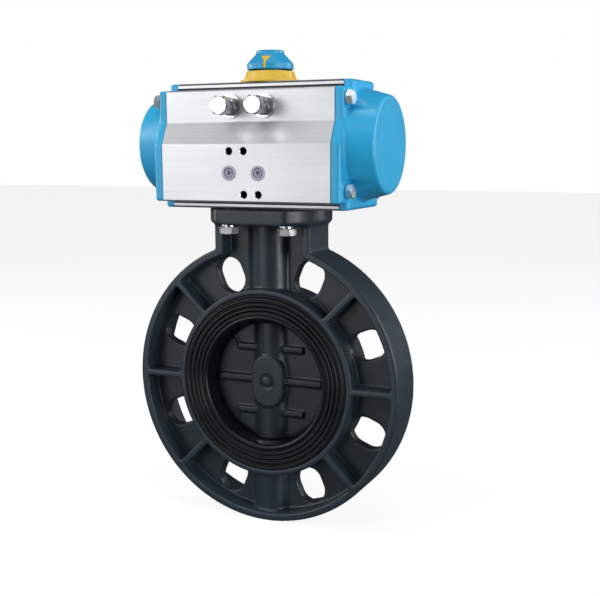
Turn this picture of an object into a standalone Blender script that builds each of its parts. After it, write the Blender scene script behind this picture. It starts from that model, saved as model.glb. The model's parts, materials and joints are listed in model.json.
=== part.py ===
"""Wafer butterfly valve, DN 100, with a rack and pinion air actuator.

Metres, +Z up. The origin is the centre of the bore: flow runs along Y, the front face looks
along -Y, and the stem stands on Z. The valve is closed at rest.
"""

import math

import bmesh
import bpy
from mathutils import Matrix, Vector

MM = 0.001
GAP = 0.3                    # clearance between pieces that touch, in mm
OVERLAP = 2.0                # how far joined shapes run into each other, in mm
# Sides of round shapes, from the rim down to the small holes.
FINE, HUB_SIDES, LINER_SIDES, CYLINDER_SIDES, MEDIUM, ROUND_SIDES, COARSE = 60, 44, 40, 32, 24, 18, 10
SLOT_STEPS = 6
FLANK_STEPS = 3
FLAT_ANGLE = math.radians(0.3)    # faces that meet within this are made one

# Driving dimensions, all in mm.
RIM_RADIUS = 112.5
RIM_WALL = 6.0
BODY_HALF = 19.25            # half the body's width along the flow
WEB_HALF = 4.5
HUB_RADIUS = 75.0
LINER_LIP_RADIUS = 70.2
LINER_LIP = 4.5              # thickness of the liner's front and rear lips
LINER_BACK_RADIUS = 58.0
LINER_RIDGES = ((70.2, 64.2), (64.2, 59.3), (59.3, 54.4))    # outer and inner radius of each
BORE_RADIUS = 50.0
STEM_FLAT_Z = 47.5           # height of the liner's flats round the stem
STEM_FLAT_RADIUS = 16.0

SLOT_CIRCLE = 90.0           # radius on which the bolt slots are centred
SLOT_LENGTH = 29.0
SLOT_WIDTH = 22.0
RIB_THICKNESS = 5.0
RIB_INSET = 0.25             # step between the faces of the ribs and of the rim

STEM_RADIUS = 8.0
BUSH_RADIUS = 11.0
BUSH_SEAT = 100.0            # distance from the bore's centre to the end of a bush pocket
COLUMN_RADIUS = 17.0
BOSS_RADIUS = 14.8
NECK_HALF_WIDTH = 40.8
NECK_WALL = 6.4
FLANGE_TOP = 138.0
FLANGE_THICKNESS = 12.0
FLANGE_RADIUS = 47.8
FLANGE_HALF = 38.3           # half the distance between the flange's flats
F07_HALF = 24.75             # half the bolt spacing of an F07 mounting square

HOUSING_BOTTOM = FLANGE_TOP + GAP
HOUSING_HALF_LENGTH = 69.6
PISTON_AXIS = 185.8          # height of the cylinder's axis
CYLINDER_RADIUS = 34.0
CAM_POCKET_RADIUS = 20.5
CAM_POCKET = (208.5, 220.0)
CAM_REACH, CAM_HUB_RADIUS = 18.5, 12.8
STOP_X, STOP_Z = 13.8, 214.7
STOP_TIP_Y = -9.0
NAMUR_Z, NAMUR_FACE_Y = 165.6, -47.2

MODULE = 1.5
TEETH = 18
PITCH_RADIUS = MODULE * TEETH / 2
BACKLASH = 0.32
PISTON_HEAD = (30.0, 45.5)   # inner and outer face of the right piston's head at rest
RACK_TIP = -28.0
RACK_HALF_HEIGHT = 11.0

CAP_FLANGE = 7.4
CAP_END = 98.5
CAP_DOME_RADIUS = 42.3
CAP_BOLT_Y, CAP_BOLT_Z = 33.0, 33.3
CAP_CONE = ((17.9, 248.0), (11.4, 255.8))    # foot and top of the indicator cap's cone
POINTER_TURN = 12.0          # degrees from straight ahead

# Colours as (red, green, blue), metallic, roughness.
FINISHES = {
    "body_plastic": ((0.045, 0.062, 0.080), 0.0, 0.42),
    "disc_plastic": ((0.035, 0.046, 0.058), 0.0, 0.45),
    "seat_rubber": ((0.012, 0.012, 0.014), 0.0, 0.50),
    "seal_rubber": ((0.015, 0.015, 0.015), 0.0, 0.55),
    "anodised_aluminium": ((0.78, 0.79, 0.81), 1.0, 0.38),
    "cap_paint": ((0.045, 0.36, 0.66), 0.0, 0.32),
    "piston_aluminium": ((0.62, 0.63, 0.65), 1.0, 0.40),
    "bright_steel": ((0.75, 0.75, 0.76), 1.0, 0.18),
    "stem_steel": ((0.55, 0.55, 0.56), 1.0, 0.30),
    "indicator_yellow": ((0.80, 0.48, 0.06), 0.0, 0.35),
    "indicator_blue": ((0.05, 0.36, 0.64), 0.0, 0.35),
    "bearing_plastic": ((0.70, 0.68, 0.60), 0.0, 0.50),
    "plug_plastic": ((0.62, 0.62, 0.72), 0.0, 0.30),
}

ASSEMBLY = "butterfly_valve"
TOOLS = "cutters"


# ---------------------------------------------------------------- scene and objects

def clear_scene():
    for item in list(bpy.data.objects):
        bpy.data.objects.remove(item, do_unlink=True)


def new_collection(name):
    made = bpy.data.collections.new(name)
    bpy.context.scene.collection.children.link(made)
    return made


def finish_material(name):
    """The named material, made on first use."""
    found = bpy.data.materials.get(name)
    if found:
        return found
    colour, metallic, roughness = FINISHES[name]
    made = bpy.data.materials.new(name)
    made.use_nodes = True
    shader = made.node_tree.nodes["Principled BSDF"]
    shader.inputs["Base Color"].default_value = (*colour, 1.0)
    shader.inputs["Metallic"].default_value = metallic
    shader.inputs["Roughness"].default_value = roughness
    made.diffuse_color = (*colour, 1.0)
    return made


def link_mesh(bm, name):
    """An object in the cutters collection that holds this bmesh, in millimetres until now."""
    bmesh.ops.scale(bm, vec=(MM, MM, MM), verts=bm.verts)
    mesh = bpy.data.meshes.new(name)
    bm.to_mesh(mesh)
    bm.free()
    obj = bpy.data.objects.new(name, mesh)
    bpy.data.collections[TOOLS].objects.link(obj)
    hide(obj)
    return obj


def hide(obj):
    obj.hide_render = True
    obj.display_type = "WIRE"


def node(obj, name, finish, parent=None):
    """Makes a helper object a visible piece of the assembly."""
    obj.name = name
    obj.hide_render = False
    obj.display_type = "TEXTURED"
    bpy.data.collections[TOOLS].objects.unlink(obj)
    bpy.data.collections[ASSEMBLY].objects.link(obj)
    obj.data.materials.clear()
    obj.data.materials.append(finish_material(finish))
    obj.data.shade_smooth()
    obj.data.set_sharp_from_angle(angle=math.radians(32))
    if parent:
        obj.parent = parent
        obj.matrix_parent_inverse = parent.matrix_world.inverted()
    return obj


def joint_empty(name, place, parent=None):
    empty = bpy.data.objects.new(name, None)
    empty.empty_display_size = 0.02
    bpy.data.collections[ASSEMBLY].objects.link(empty)
    empty.location = Vector(place) * MM
    bpy.context.view_layer.update()
    if parent:
        empty.parent = parent
        empty.matrix_parent_inverse = parent.matrix_world.inverted()
        bpy.context.view_layer.update()
    return empty


# ---------------------------------------------------------------- shapes, all in mm

AXIS_TURN = {
    "X": Matrix.Rotation(math.radians(90), 4, "Y"),
    "Y": Matrix.Rotation(math.radians(-90), 4, "X"),
    "Z": Matrix.Identity(4),
}


def box(low, high, name="box"):
    bm = bmesh.new()
    bmesh.ops.create_cube(bm, size=1.0)
    size = [b - a for a, b in zip(low, high)]
    centre = [(a + b) / 2 for a, b in zip(low, high)]
    bmesh.ops.scale(bm, vec=size, verts=bm.verts)
    bmesh.ops.translate(bm, vec=centre, verts=bm.verts)
    return link_mesh(bm, name)


def rod(radius, start, end, axis="Z", at=(0, 0, 0), sides=MEDIUM, top_radius=None, turn=0.0, name="rod"):
    """A cylinder or cone along an axis, from start to end on that axis, through the point at."""
    bm = bmesh.new()
    bmesh.ops.create_cone(
        bm, cap_ends=True, segments=sides, radius1=radius,
        radius2=radius if top_radius is None else top_radius, depth=end - start,
    )
    bmesh.ops.rotate(bm, matrix=Matrix.Rotation(turn, 3, "Z"), verts=bm.verts)
    bmesh.ops.translate(bm, vec=(0, 0, (start + end) / 2), verts=bm.verts)
    bmesh.ops.transform(bm, matrix=Matrix.Translation(at) @ AXIS_TURN[axis], verts=bm.verts)
    return link_mesh(bm, name)


def turned(profile, axis="Z", at=(0, 0, 0), sides=MEDIUM, name="turned"):
    """A closed (radius, height) profile, outer side from top to bottom, turned with a Screw."""
    bm = bmesh.new()
    points = [bm.verts.new((radius * MM, 0, height * MM)) for radius, height in profile]
    for first, second in zip(points, points[1:] + points[:1]):
        if first.co.x > 0 or second.co.x > 0:
            bm.edges.new((first, second))
    mesh = bpy.data.meshes.new(name)
    bm.to_mesh(mesh)
    bm.free()
    obj = bpy.data.objects.new(name, mesh)
    bpy.data.collections[TOOLS].objects.link(obj)
    hide(obj)
    screw = obj.modifiers.new("turn", "SCREW")
    screw.axis = "Z"
    screw.steps = screw.render_steps = sides
    screw.use_merge_vertices = True
    screw.merge_threshold = 0.00001
    screw.use_normal_calculate = True
    return baked(obj, Matrix.Translation(Vector(at) * MM) @ AXIS_TURN[axis])


def baked(obj, matrix=None):
    """The object's evaluated shape as plain mesh, with an optional move built in."""
    bpy.context.view_layer.update()
    graph = bpy.context.evaluated_depsgraph_get()
    mesh = bpy.data.meshes.new_from_object(obj.evaluated_get(graph))
    mesh.transform(obj.matrix_world)
    if matrix:
        mesh.transform(matrix)
    bm = bmesh.new()
    bm.from_mesh(mesh)
    bmesh.ops.remove_doubles(bm, verts=bm.verts, dist=0.000002)
    bmesh.ops.dissolve_limit(bm, angle_limit=FLAT_ANGLE, verts=bm.verts, edges=bm.edges)
    bmesh.ops.recalc_face_normals(bm, faces=bm.faces)
    bm.to_mesh(mesh)
    bm.free()
    made = bpy.data.objects.new(obj.name, mesh)
    bpy.data.collections[TOOLS].objects.link(made)
    hide(made)
    bpy.data.objects.remove(obj, do_unlink=True)
    return made


def plate(outline, start, end, axis="Z", holes=(), name="plate"):
    """A flat outline, and holes in it, filled and extruded from start to end along an axis.

    The outline's (u, v) are (X, Y) for axis Z, (X, Z) for axis Y and (Y, Z) for axis X.
    """
    curve = bpy.data.curves.new(name, "CURVE")
    curve.dimensions = "2D"
    curve.fill_mode = "BOTH"
    curve.extrude = (end - start) / 2 * MM
    for loop in (outline, *holes):
        spline = curve.splines.new("POLY")
        spline.points.add(len(loop) - 1)
        for point, (u, v) in zip(spline.points, loop):
            point.co = (u * MM, v * MM, 0, 1)
        spline.use_cyclic_u = True
    obj = bpy.data.objects.new(name, curve)
    bpy.data.collections[TOOLS].objects.link(obj)
    frames = {
        "Z": Matrix.Identity(4),
        "Y": Matrix(((1, 0, 0, 0), (0, 0, 1, 0), (0, 1, 0, 0), (0, 0, 0, 1))),
        "X": Matrix(((0, 0, 1, 0), (1, 0, 0, 0), (0, 1, 0, 0), (0, 0, 0, 1))),
    }
    middle = Matrix.Translation((0, 0, (start + end) / 2 * MM))
    return baked(obj, frames[axis] @ middle)


def combine(target, tools, operation):
    """Joins or cuts the target with each tool, and leaves plain mesh."""
    for tool in tools:
        step = target.modifiers.new(operation.lower(), "BOOLEAN")
        step.operation = operation
        step.solver = "EXACT"
        step.object = tool
    made = baked(target)
    for tool in tools:
        bpy.data.objects.remove(tool, do_unlink=True)
    return made


def join(target, *tools):
    return combine(target, tools, "UNION")


def cut(target, *tools):
    return combine(target, tools, "DIFFERENCE")


def keep(target, *tools):
    return combine(target, tools, "INTERSECT")


def copy_of(obj, matrix):
    """A second helper object with its own mesh, moved by the matrix."""
    mesh = obj.data.copy()
    mesh.transform(matrix)
    if matrix.determinant() < 0:
        mesh.flip_normals()
    made = bpy.data.objects.new(obj.name, mesh)
    bpy.data.collections[TOOLS].objects.link(made)
    hide(made)
    return made


def arc(centre, radius, first, last, steps):
    """Points on an arc, angles in degrees."""
    points = []
    for step in range(steps + 1):
        angle = math.radians(first + (last - first) * step / steps)
        points.append((centre[0] + radius * math.cos(angle), centre[1] + radius * math.sin(angle)))
    return points


def hex_rod(across_flats, start, end, axis="Z", at=(0, 0, 0), turn=0.0):
    return rod(across_flats / math.sqrt(3), start, end, axis, at, sides=6, turn=turn, name="hex")


def ring(inner, outer, start, end, axis="Z", at=(0, 0, 0), sides=MEDIUM, name="ring"):
    profile = [(outer, end), (outer, start), (inner, start), (inner, end)]
    return turned(profile, axis, at, sides, name)


def turn_z(degrees):
    return Matrix.Rotation(math.radians(degrees), 4, "Z")


# ---------------------------------------------------------------- valve body and liner

def slot_outline(angle):
    """A bolt slot as (x, z) points: long axis radial, angle measured from +Z towards +X."""
    reach = (SLOT_LENGTH - SLOT_WIDTH) / 2
    upright = arc((0, SLOT_CIRCLE + reach), SLOT_WIDTH / 2, 0, 180, SLOT_STEPS)
    upright += arc((0, SLOT_CIRCLE - reach), SLOT_WIDTH / 2, 180, 360, SLOT_STEPS)
    turn = math.radians(angle)
    return [
        (x * math.cos(turn) + z * math.sin(turn), z * math.cos(turn) - x * math.sin(turn))
        for x, z in upright
    ]


def rim_outline(radius, half_width, top):
    """A circle that runs up into two straight sides, as (x, z): the shape of rim and neck."""
    corner = math.degrees(math.acos(half_width / radius))
    circle = arc((0, 0), radius, corner, corner - 180 - 2 * corner, FINE)
    return [(half_width, top), *circle, (-half_width, top)]


def radial_rib(angle):
    half = BODY_HALF - RIB_INSET
    low = (-RIB_THICKNESS / 2, -half, HUB_RADIUS - OVERLAP)
    high = (RIB_THICKNESS / 2, half, RIM_RADIUS - RIM_WALL + OVERLAP)
    rib = box(low, high, "rib")
    rib.data.transform(Matrix.Rotation(math.radians(angle), 4, "Y"))
    return rib


def actuator_flange():
    """A round flange with a flat at the front and the rear."""
    under = FLANGE_TOP - FLANGE_THICKNESS
    flange = turned(
        [(FLANGE_RADIUS, FLANGE_TOP), (FLANGE_RADIUS, under + 2), (FLANGE_RADIUS - 2, under), (0, under),
         (0, FLANGE_TOP)], sides=FINE, name="flange")
    reach = FLANGE_RADIUS + 5
    between_flats = box((-reach, -FLANGE_HALF, under - 5), (reach, FLANGE_HALF, FLANGE_TOP + 5))
    return keep(flange, between_flats)


def valve_body():
    rim_inner = RIM_RADIUS - RIM_WALL
    neck_top = FLANGE_TOP - FLANGE_THICKNESS / 2
    neck_inner = NECK_HALF_WIDTH - NECK_WALL
    frame = plate(
        rim_outline(RIM_RADIUS, NECK_HALF_WIDTH, neck_top), -BODY_HALF, BODY_HALF, "Y",
        holes=[rim_outline(rim_inner, neck_inner, neck_top - OVERLAP)], name="frame")
    lip, seat = BODY_HALF - LINER_LIP - GAP, LINER_LIP_RADIUS + GAP
    hub = turned(
        [(HUB_RADIUS, BODY_HALF), (HUB_RADIUS, -BODY_HALF), (seat, -BODY_HALF), (seat, -lip),
         (LINER_BACK_RADIUS + GAP, -lip), (LINER_BACK_RADIUS + GAP, lip), (seat, lip), (seat, BODY_HALF)],
        "Y", sides=HUB_SIDES, name="hub")
    web_holes = [slot_outline(22.5 + 45 * number) for number in range(8)]
    web_holes.append(arc((0, 0), HUB_RADIUS - OVERLAP, 0, 355, FINE - 1))
    web = plate(
        rim_outline(rim_inner + OVERLAP, neck_inner + OVERLAP, neck_top - 1), -WEB_HALF, WEB_HALF, "Y",
        holes=web_holes, name="web")
    ribs = [radial_rib(angle) for angle in (45, 90, 135, -45, -90, -135)]
    column = rod(COLUMN_RADIUS, seat + 1, FLANGE_TOP - 4, sides=MEDIUM)
    boss = rod(BOSS_RADIUS, -rim_inner - OVERLAP, -seat - 1, sides=MEDIUM)
    body = join(frame, hub, web, *ribs, column, boss, actuator_flange())
    bores = [
        rod(STEM_RADIUS + GAP, -STEM_FLAT_Z, FLANGE_TOP + 5, sides=ROUND_SIDES),
        rod(BUSH_RADIUS + GAP, BUSH_SEAT, FLANGE_TOP + 5, sides=ROUND_SIDES),
        rod(BUSH_RADIUS + GAP, -BUSH_SEAT, -STEM_FLAT_Z, sides=ROUND_SIDES),
    ]
    holes = [
        rod(4.3, FLANGE_TOP - FLANGE_THICKNESS - 5, FLANGE_TOP + 5, at=(x, y, 0), sides=COARSE)
        for x in (-F07_HALF, F07_HALF) for y in (-F07_HALF, F07_HALF)
    ]
    body = cut(body, *bores, *holes)
    return node(body, "valve_body", "body_plastic")


def liner_face(sign):
    """Points of one lip face with its three ridges, from the outer edge inwards, as (radius, y)."""
    groove, crest = BODY_HALF - 0.6, BODY_HALF + 0.9
    points = [(LINER_LIP_RADIUS, groove)]
    for outer, inner in LINER_RIDGES:
        points += [(outer - 0.8, crest), (inner + 0.8, crest), (inner, groove)]
    points += [(BORE_RADIUS + 3.4, BODY_HALF + 0.6), (BORE_RADIUS, BODY_HALF - 1.6)]
    return [(radius, sign * y) for radius, y in points]


def seat_liner():
    lip = BODY_HALF - LINER_LIP
    front = liner_face(1)
    rear = list(reversed(liner_face(-1)))
    back = [(LINER_BACK_RADIUS, -lip), (LINER_BACK_RADIUS, lip)]
    profile = front + rear + [(LINER_LIP_RADIUS, -lip)] + back + [(LINER_LIP_RADIUS, lip)]
    liner = turned(list(reversed(profile)), "Y", sides=LINER_SIDES)
    flats = [
        rod(STEM_FLAT_RADIUS, STEM_FLAT_Z, BORE_RADIUS + 4, sides=ROUND_SIDES),
        rod(STEM_FLAT_RADIUS, -BORE_RADIUS - 4, -STEM_FLAT_Z, sides=ROUND_SIDES),
    ]
    liner = join(liner, *flats)
    liner = cut(liner, rod(STEM_RADIUS + GAP, -80, 80, sides=ROUND_SIDES))
    return node(liner, "seat_liner", "seat_rubber")


def stem_bearings():
    bush_top = ring(STEM_RADIUS + GAP, BUSH_RADIUS, 108.0, 134.0, sides=ROUND_SIDES)
    node(bush_top, "stem_bush_upper", "bearing_plastic")
    bush_low = ring(STEM_RADIUS + GAP, BUSH_RADIUS, -99.5, -78.0, sides=ROUND_SIDES)
    node(bush_low, "stem_bush_lower", "bearing_plastic")
    seal_profile = arc((STEM_RADIUS + GAP + 1.25, 0), 1.2, 90, -210, 5)
    for name, height in (("stem_seal_upper", 104.0), ("stem_seal_lower", -72.0)):
        seal = turned([(r, height + z) for r, z in seal_profile], sides=ROUND_SIDES)
        node(seal, name, "seal_rubber")


# ---------------------------------------------------------------- disc and stem

def disc(turning):
    radius, top = BORE_RADIUS - GAP, STEM_FLAT_Z - GAP
    edge = [(radius, 2.2), (radius, -2.2), (radius - 2.6, -3.6), (0, -3.6), (0, 3.6), (radius - 2.6, 3.6)]
    blank = turned(edge, "Y", sides=HUB_SIDES)
    hub = rod(13.5, -top, top, sides=MEDIUM)
    hub.data.transform(Matrix.Diagonal((1.0, 0.78, 1.0, 1.0)))
    spoke = box((-45.0, -6.6, -2.5), (45.0, 6.6, 2.5))
    short_ribs = [box((-29.0, -6.0, z - 2.2), (29.0, 6.0, z + 2.2)) for z in (-26.0, 26.0)]
    pad_outline = arc((0, 7.5), 13.6, 0, 180, 10) + arc((0, -7.5), 13.6, 180, 360, 10)
    pad = plate(pad_outline, -11.6, 11.6, "Y", name="pad")
    shape = join(blank, hub, spoke, *short_ribs, pad)
    ends = [box((-60, -60, top), (60, 60, 80)), box((-60, -60, -80), (60, 60, -top))]
    bore = rod(STEM_RADIUS + GAP, -80, 80, sides=ROUND_SIDES)
    recess = rod(4.6, -14, -10.4, "Y", sides=COARSE)
    shape = cut(shape, *ends, bore, recess)
    keys = [box((-7, 6.3, -30), (7, 9.5, 30)), box((-7, -9.5, -30), (7, -6.3, 30))]
    shape = join(shape, *keys)
    return node(shape, "disc", "disc_plastic", turning)


def disc_button(turning):
    button = turned([(0, 13.0), (3.4, 13.0), (4.2, 12.2), (4.2, 10.7), (0, 10.7)], sides=COARSE)
    button.data.transform(Matrix.Rotation(math.radians(90), 4, "X"))
    return node(button, "disc_button", "disc_plastic", turning)


def valve_stem(turning):
    """A round stem with flats that carry the disc, and a square at the top."""
    shaft = rod(STEM_RADIUS, -99.0, FLANGE_TOP + 2, sides=ROUND_SIDES)
    flats = [box((-12, 6.0, -30.3), (12, 12.0, 30.3)), box((-12, -12.0, -30.3), (12, -6.0, 30.3))]
    shaft = cut(shaft, *flats)
    square = box((-5.6, -5.6, FLANGE_TOP - 2), (5.6, 5.6, FLANGE_TOP + 17))
    shaft = join(shaft, square)
    return node(shaft, "valve_stem", "stem_steel", turning)


def drive_sleeve(turning):
    """The square reducer between the stem and the pinion's socket."""
    low, high = FLANGE_TOP + 2.6, FLANGE_TOP + 18
    sleeve = cut(box((-8.2, -8.2, low), (8.2, 8.2, high)), box((-5.9, -5.9, low - 5), (5.9, 5.9, high + 5)))
    return node(sleeve, "drive_sleeve", "stem_steel", turning)


def build_valve(turning):
    valve_body()
    seat_liner()
    stem_bearings()
    disc(turning)
    disc_button(turning)
    valve_stem(turning)
    drive_sleeve(turning)


# ---------------------------------------------------------------- actuator housing and caps

def housing_outline(shrink=0.0):
    """The extrusion's (y, z) outline, from the rear bottom rail round by the front."""
    s = shrink
    return [
        (31.5 - s, 138.3 + s), (-31.5 + s, 138.3 + s), (-31.5 + s, 143.6), (-44.5, 144.6 + s),
        (-47.2 + s, 147.2 + s), (-47.2 + s, 186.6), (-39.2 + s, 203.2), (-39.2 + s, 224.0 - s),
        (-38.0, 225.6 - s), (-22.0 + s, 226.4), (-22.0 + s, 233.3 - s), (22.0 - s, 233.3 - s),
        (22.0 - s, 226.4), (38.0, 225.6 - s), (40.0 - s, 223.6 - s), (40.0 - s, 147.4 + s),
        (37.5, 144.6 + s), (31.5 - s, 143.6),
    ]


def actuator_housing():
    length = HOUSING_HALF_LENGTH
    shell = plate(housing_outline(), -length, length, "X", name="housing")
    cylinder = rod(CYLINDER_RADIUS, -length - 5, length + 5, "X", at=(0, 0, PISTON_AXIS), sides=CYLINDER_SIDES)
    pocket = rod(CAM_POCKET_RADIUS, *CAM_POCKET, sides=MEDIUM)
    upper = rod(13.3, 200.0, 240.0, sides=MEDIUM)
    lower = rod(17.3, 130.0, 160.0, sides=MEDIUM)
    stops = [
        rod(4.3, -60, -5, "Y", at=(x, 0, STOP_Z), sides=COARSE) for x in (-STOP_X, STOP_X)
    ]
    ports = [
        rod(5.2, -60, NAMUR_FACE_Y + 9, "Y", at=(x, 0, NAMUR_Z), sides=ROUND_SIDES) for x in (-12.0, 12.0)
    ]
    taps = [
        rod(2.5, -60, NAMUR_FACE_Y + 8, "Y", at=(x, 0, z), sides=COARSE)
        for x, z in ((-12.0, NAMUR_Z + 16), (0.0, NAMUR_Z + 16), (0.0, NAMUR_Z - 16), (12.0, NAMUR_Z - 16))
    ]
    feet = [
        rod(3.4, 130.0, HOUSING_BOTTOM + 9.7, at=(x, y, 0), sides=COARSE)
        for x in (-F07_HALF, F07_HALF) for y in (-F07_HALF, F07_HALF)
    ]
    cap_taps = [
        rod(3.3, *sorted((side * (length - 16), side * (length + 5))), "X",
            at=(0, y, PISTON_AXIS + z), sides=COARSE)
        for side in (-1, 1) for y in (-CAP_BOLT_Y, CAP_BOLT_Y) for z in (-CAP_BOLT_Z, CAP_BOLT_Z)
    ]
    shell = cut(shell, cylinder, pocket, upper, lower, *stops, *ports, *taps, *feet, *cap_taps)
    return node(shell, "actuator_housing", "anodised_aluminium")


def end_cap():
    """The right-hand cap as a helper object: flange, hollow dome and pockets for its bolts."""
    start = HOUSING_HALF_LENGTH + GAP
    flange_end = start + CAP_FLANGE
    step = plate(housing_outline(), start, flange_end - 2.4, "X", name="cap_flange")
    front = plate(housing_outline(1.6), flange_end - 3.0, flange_end, "X", name="cap_face")
    dome = turned(
        [(0, CAP_END), (33.0, CAP_END), (36.2, CAP_END - 1.6), (38.0, CAP_END - 5.2),
         (CAP_DOME_RADIUS - 0.6, flange_end + 1.2), (CAP_DOME_RADIUS, start + 2), (0, start + 2)],
        sides=CYLINDER_SIDES)
    dome.data.transform(AXIS_TURN["X"])
    dome.data.transform(Matrix.Translation((0, 0, PISTON_AXIS * MM)))
    shape = join(step, front, dome)
    centre = (0, 0, PISTON_AXIS)
    hollow = rod(33.0, start - 5, CAP_END - 5, "X", at=centre, sides=CYLINDER_SIDES, top_radius=31.0)
    groove = ring(35.2, 38.4, start - 5, start + 2.2, "X", at=centre, sides=CYLINDER_SIDES)
    bolts = [(y, z) for y in (-CAP_BOLT_Y, CAP_BOLT_Y) for z in (-CAP_BOLT_Z, CAP_BOLT_Z)]
    holes = [rod(3.4, start - 5, CAP_END, "X", at=(0, y, PISTON_AXIS + z), sides=COARSE) for y, z in bolts]
    seats = [
        rod(8.4, flange_end - 0.6, CAP_END + 5, "X", at=(0, y, PISTON_AXIS + z), sides=ROUND_SIDES)
        for y, z in bolts
    ]
    return cut(shape, hollow, groove, *holes, *seats)


def cap_bolt(y, z):
    """A hex bolt with a flange-like washer face, pointing along +X."""
    seat = HOUSING_HALF_LENGTH + CAP_FLANGE
    shank = rod(2.9, seat - 20, seat + 1, "X", at=(0, y, PISTON_AXIS + z), sides=COARSE)
    head = hex_rod(10.0, seat + 0.2, seat + 5.2, "X", at=(0, y, PISTON_AXIS + z), turn=math.radians(20))
    return join(head, shank)


def build_caps():
    mirror = Matrix.Diagonal((-1, 1, 1, 1))
    right = end_cap()
    left = copy_of(right, mirror)
    node(right, "end_cap_right", "cap_paint")
    node(left, "end_cap_left", "cap_paint")
    start = HOUSING_HALF_LENGTH + GAP
    seal = ring(35.5, 38.1, start + 0.1, start + 1.9, "X", at=(0, 0, PISTON_AXIS), sides=CYLINDER_SIDES)
    node(copy_of(seal, mirror), "cap_seal_left", "seal_rubber")
    node(seal, "cap_seal_right", "seal_rubber")
    for row, z in (("upper", CAP_BOLT_Z), ("lower", -CAP_BOLT_Z)):
        for face, y in (("front", -CAP_BOLT_Y), ("rear", CAP_BOLT_Y)):
            bolt = cap_bolt(y, z)
            node(copy_of(bolt, mirror), f"cap_bolt_left_{row}_{face}", "bright_steel")
            node(bolt, f"cap_bolt_right_{row}_{face}", "bright_steel")


def build_flange_bolts():
    under = FLANGE_TOP - FLANGE_THICKNESS
    for side, x in (("left", -F07_HALF), ("right", F07_HALF)):
        for face, y in (("front", -F07_HALF), ("rear", F07_HALF)):
            washer = ring(3.5, 6.4, under - 2.3, under - GAP, at=(x, y, 0), sides=ROUND_SIDES)
            node(washer, f"flange_washer_{side}_{face}", "bright_steel")
            head = hex_rod(13.0, under - 7.8, under - 2.6, at=(x, y, 0), turn=math.radians(12))
            shank = rod(3.1, under - 4, HOUSING_BOTTOM + 8, at=(x, y, 0), sides=COARSE)
            node(join(head, shank), f"flange_bolt_{side}_{face}", "bright_steel")


def build_stops():
    """Two adjusting screws on the front face, each with a washer and a lock nut."""
    face = housing_outline()[6][0]
    for name, x in (("left", -STOP_X), ("right", STOP_X)):
        at = (x, 0, STOP_Z)
        washer = ring(4.4, 9.0, face - 2.0, face - GAP, "Y", at=at, sides=ROUND_SIDES)
        node(washer, f"stop_washer_{name}", "bright_steel")
        nut = hex_rod(13.0, face - 8.6, face - 2.3, "Y", at=at, turn=math.radians(17))
        nut = cut(nut, rod(4.3, face - 20, face + 5, "Y", at=at, sides=COARSE))
        node(nut, f"stop_lock_nut_{name}", "bright_steel")
        empty = joint_empty(f"stop_screw_{name}_slide", (x, face, STOP_Z))
        shank = rod(4.0, face - 14, STOP_TIP_Y, "Y", at=at, sides=COARSE)
        head = hex_rod(13.0, face - 19.5, face - 13.2, "Y", at=at, turn=math.radians(8))
        node(join(head, shank), f"stop_screw_{name}", "bright_steel", empty)


def build_plugs():
    for name, x in (("left", -12.0), ("right", 12.0)):
        profile = [(0, 1.0), (4.9, 1.0), (4.9, -8.0), (3.2, -8.0), (3.2, -1.5), (0, -1.5)]
        plug = turned(profile, sides=ROUND_SIDES)
        plug.data.transform(Matrix.Rotation(math.radians(90), 4, "X"))
        plug.data.transform(Matrix.Translation(Vector((x, NAMUR_FACE_Y, NAMUR_Z)) * MM))
        node(plug, f"port_plug_{name}", "plug_plastic")


# ---------------------------------------------------------------- pinion, pistons, stop cam

def involute_gear(tooth_count, module, start, end):
    """A spur gear outline with true involute flanks, thinned by the backlash."""
    pressure = math.radians(20)
    pitch = module * tooth_count / 2
    base = pitch * math.cos(pressure)
    tip, root = pitch + module, pitch - 1.25 * module
    lead = math.tan(pressure) - pressure
    half_tooth = math.pi / (2 * tooth_count) + lead - BACKLASH / 2 / pitch
    flank = []
    for step in range(FLANK_STEPS + 1):
        radius = base + (tip - base) * step / FLANK_STEPS
        roll = math.sqrt((radius / base) ** 2 - 1)
        flank.append((radius, half_tooth - (roll - math.atan(roll))))
    outline = []
    for tooth in range(tooth_count):
        middle = math.pi / 2 + 2 * math.pi * tooth / tooth_count
        side = [(root, half_tooth + 0.012), *flank]
        for radius, angle in side:
            outline.append((radius * math.cos(middle - angle), radius * math.sin(middle - angle)))
        for radius, angle in reversed(side):
            outline.append((radius * math.cos(middle + angle), radius * math.sin(middle + angle)))
    return plate(outline, start, end, "Z", name="gear")


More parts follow.
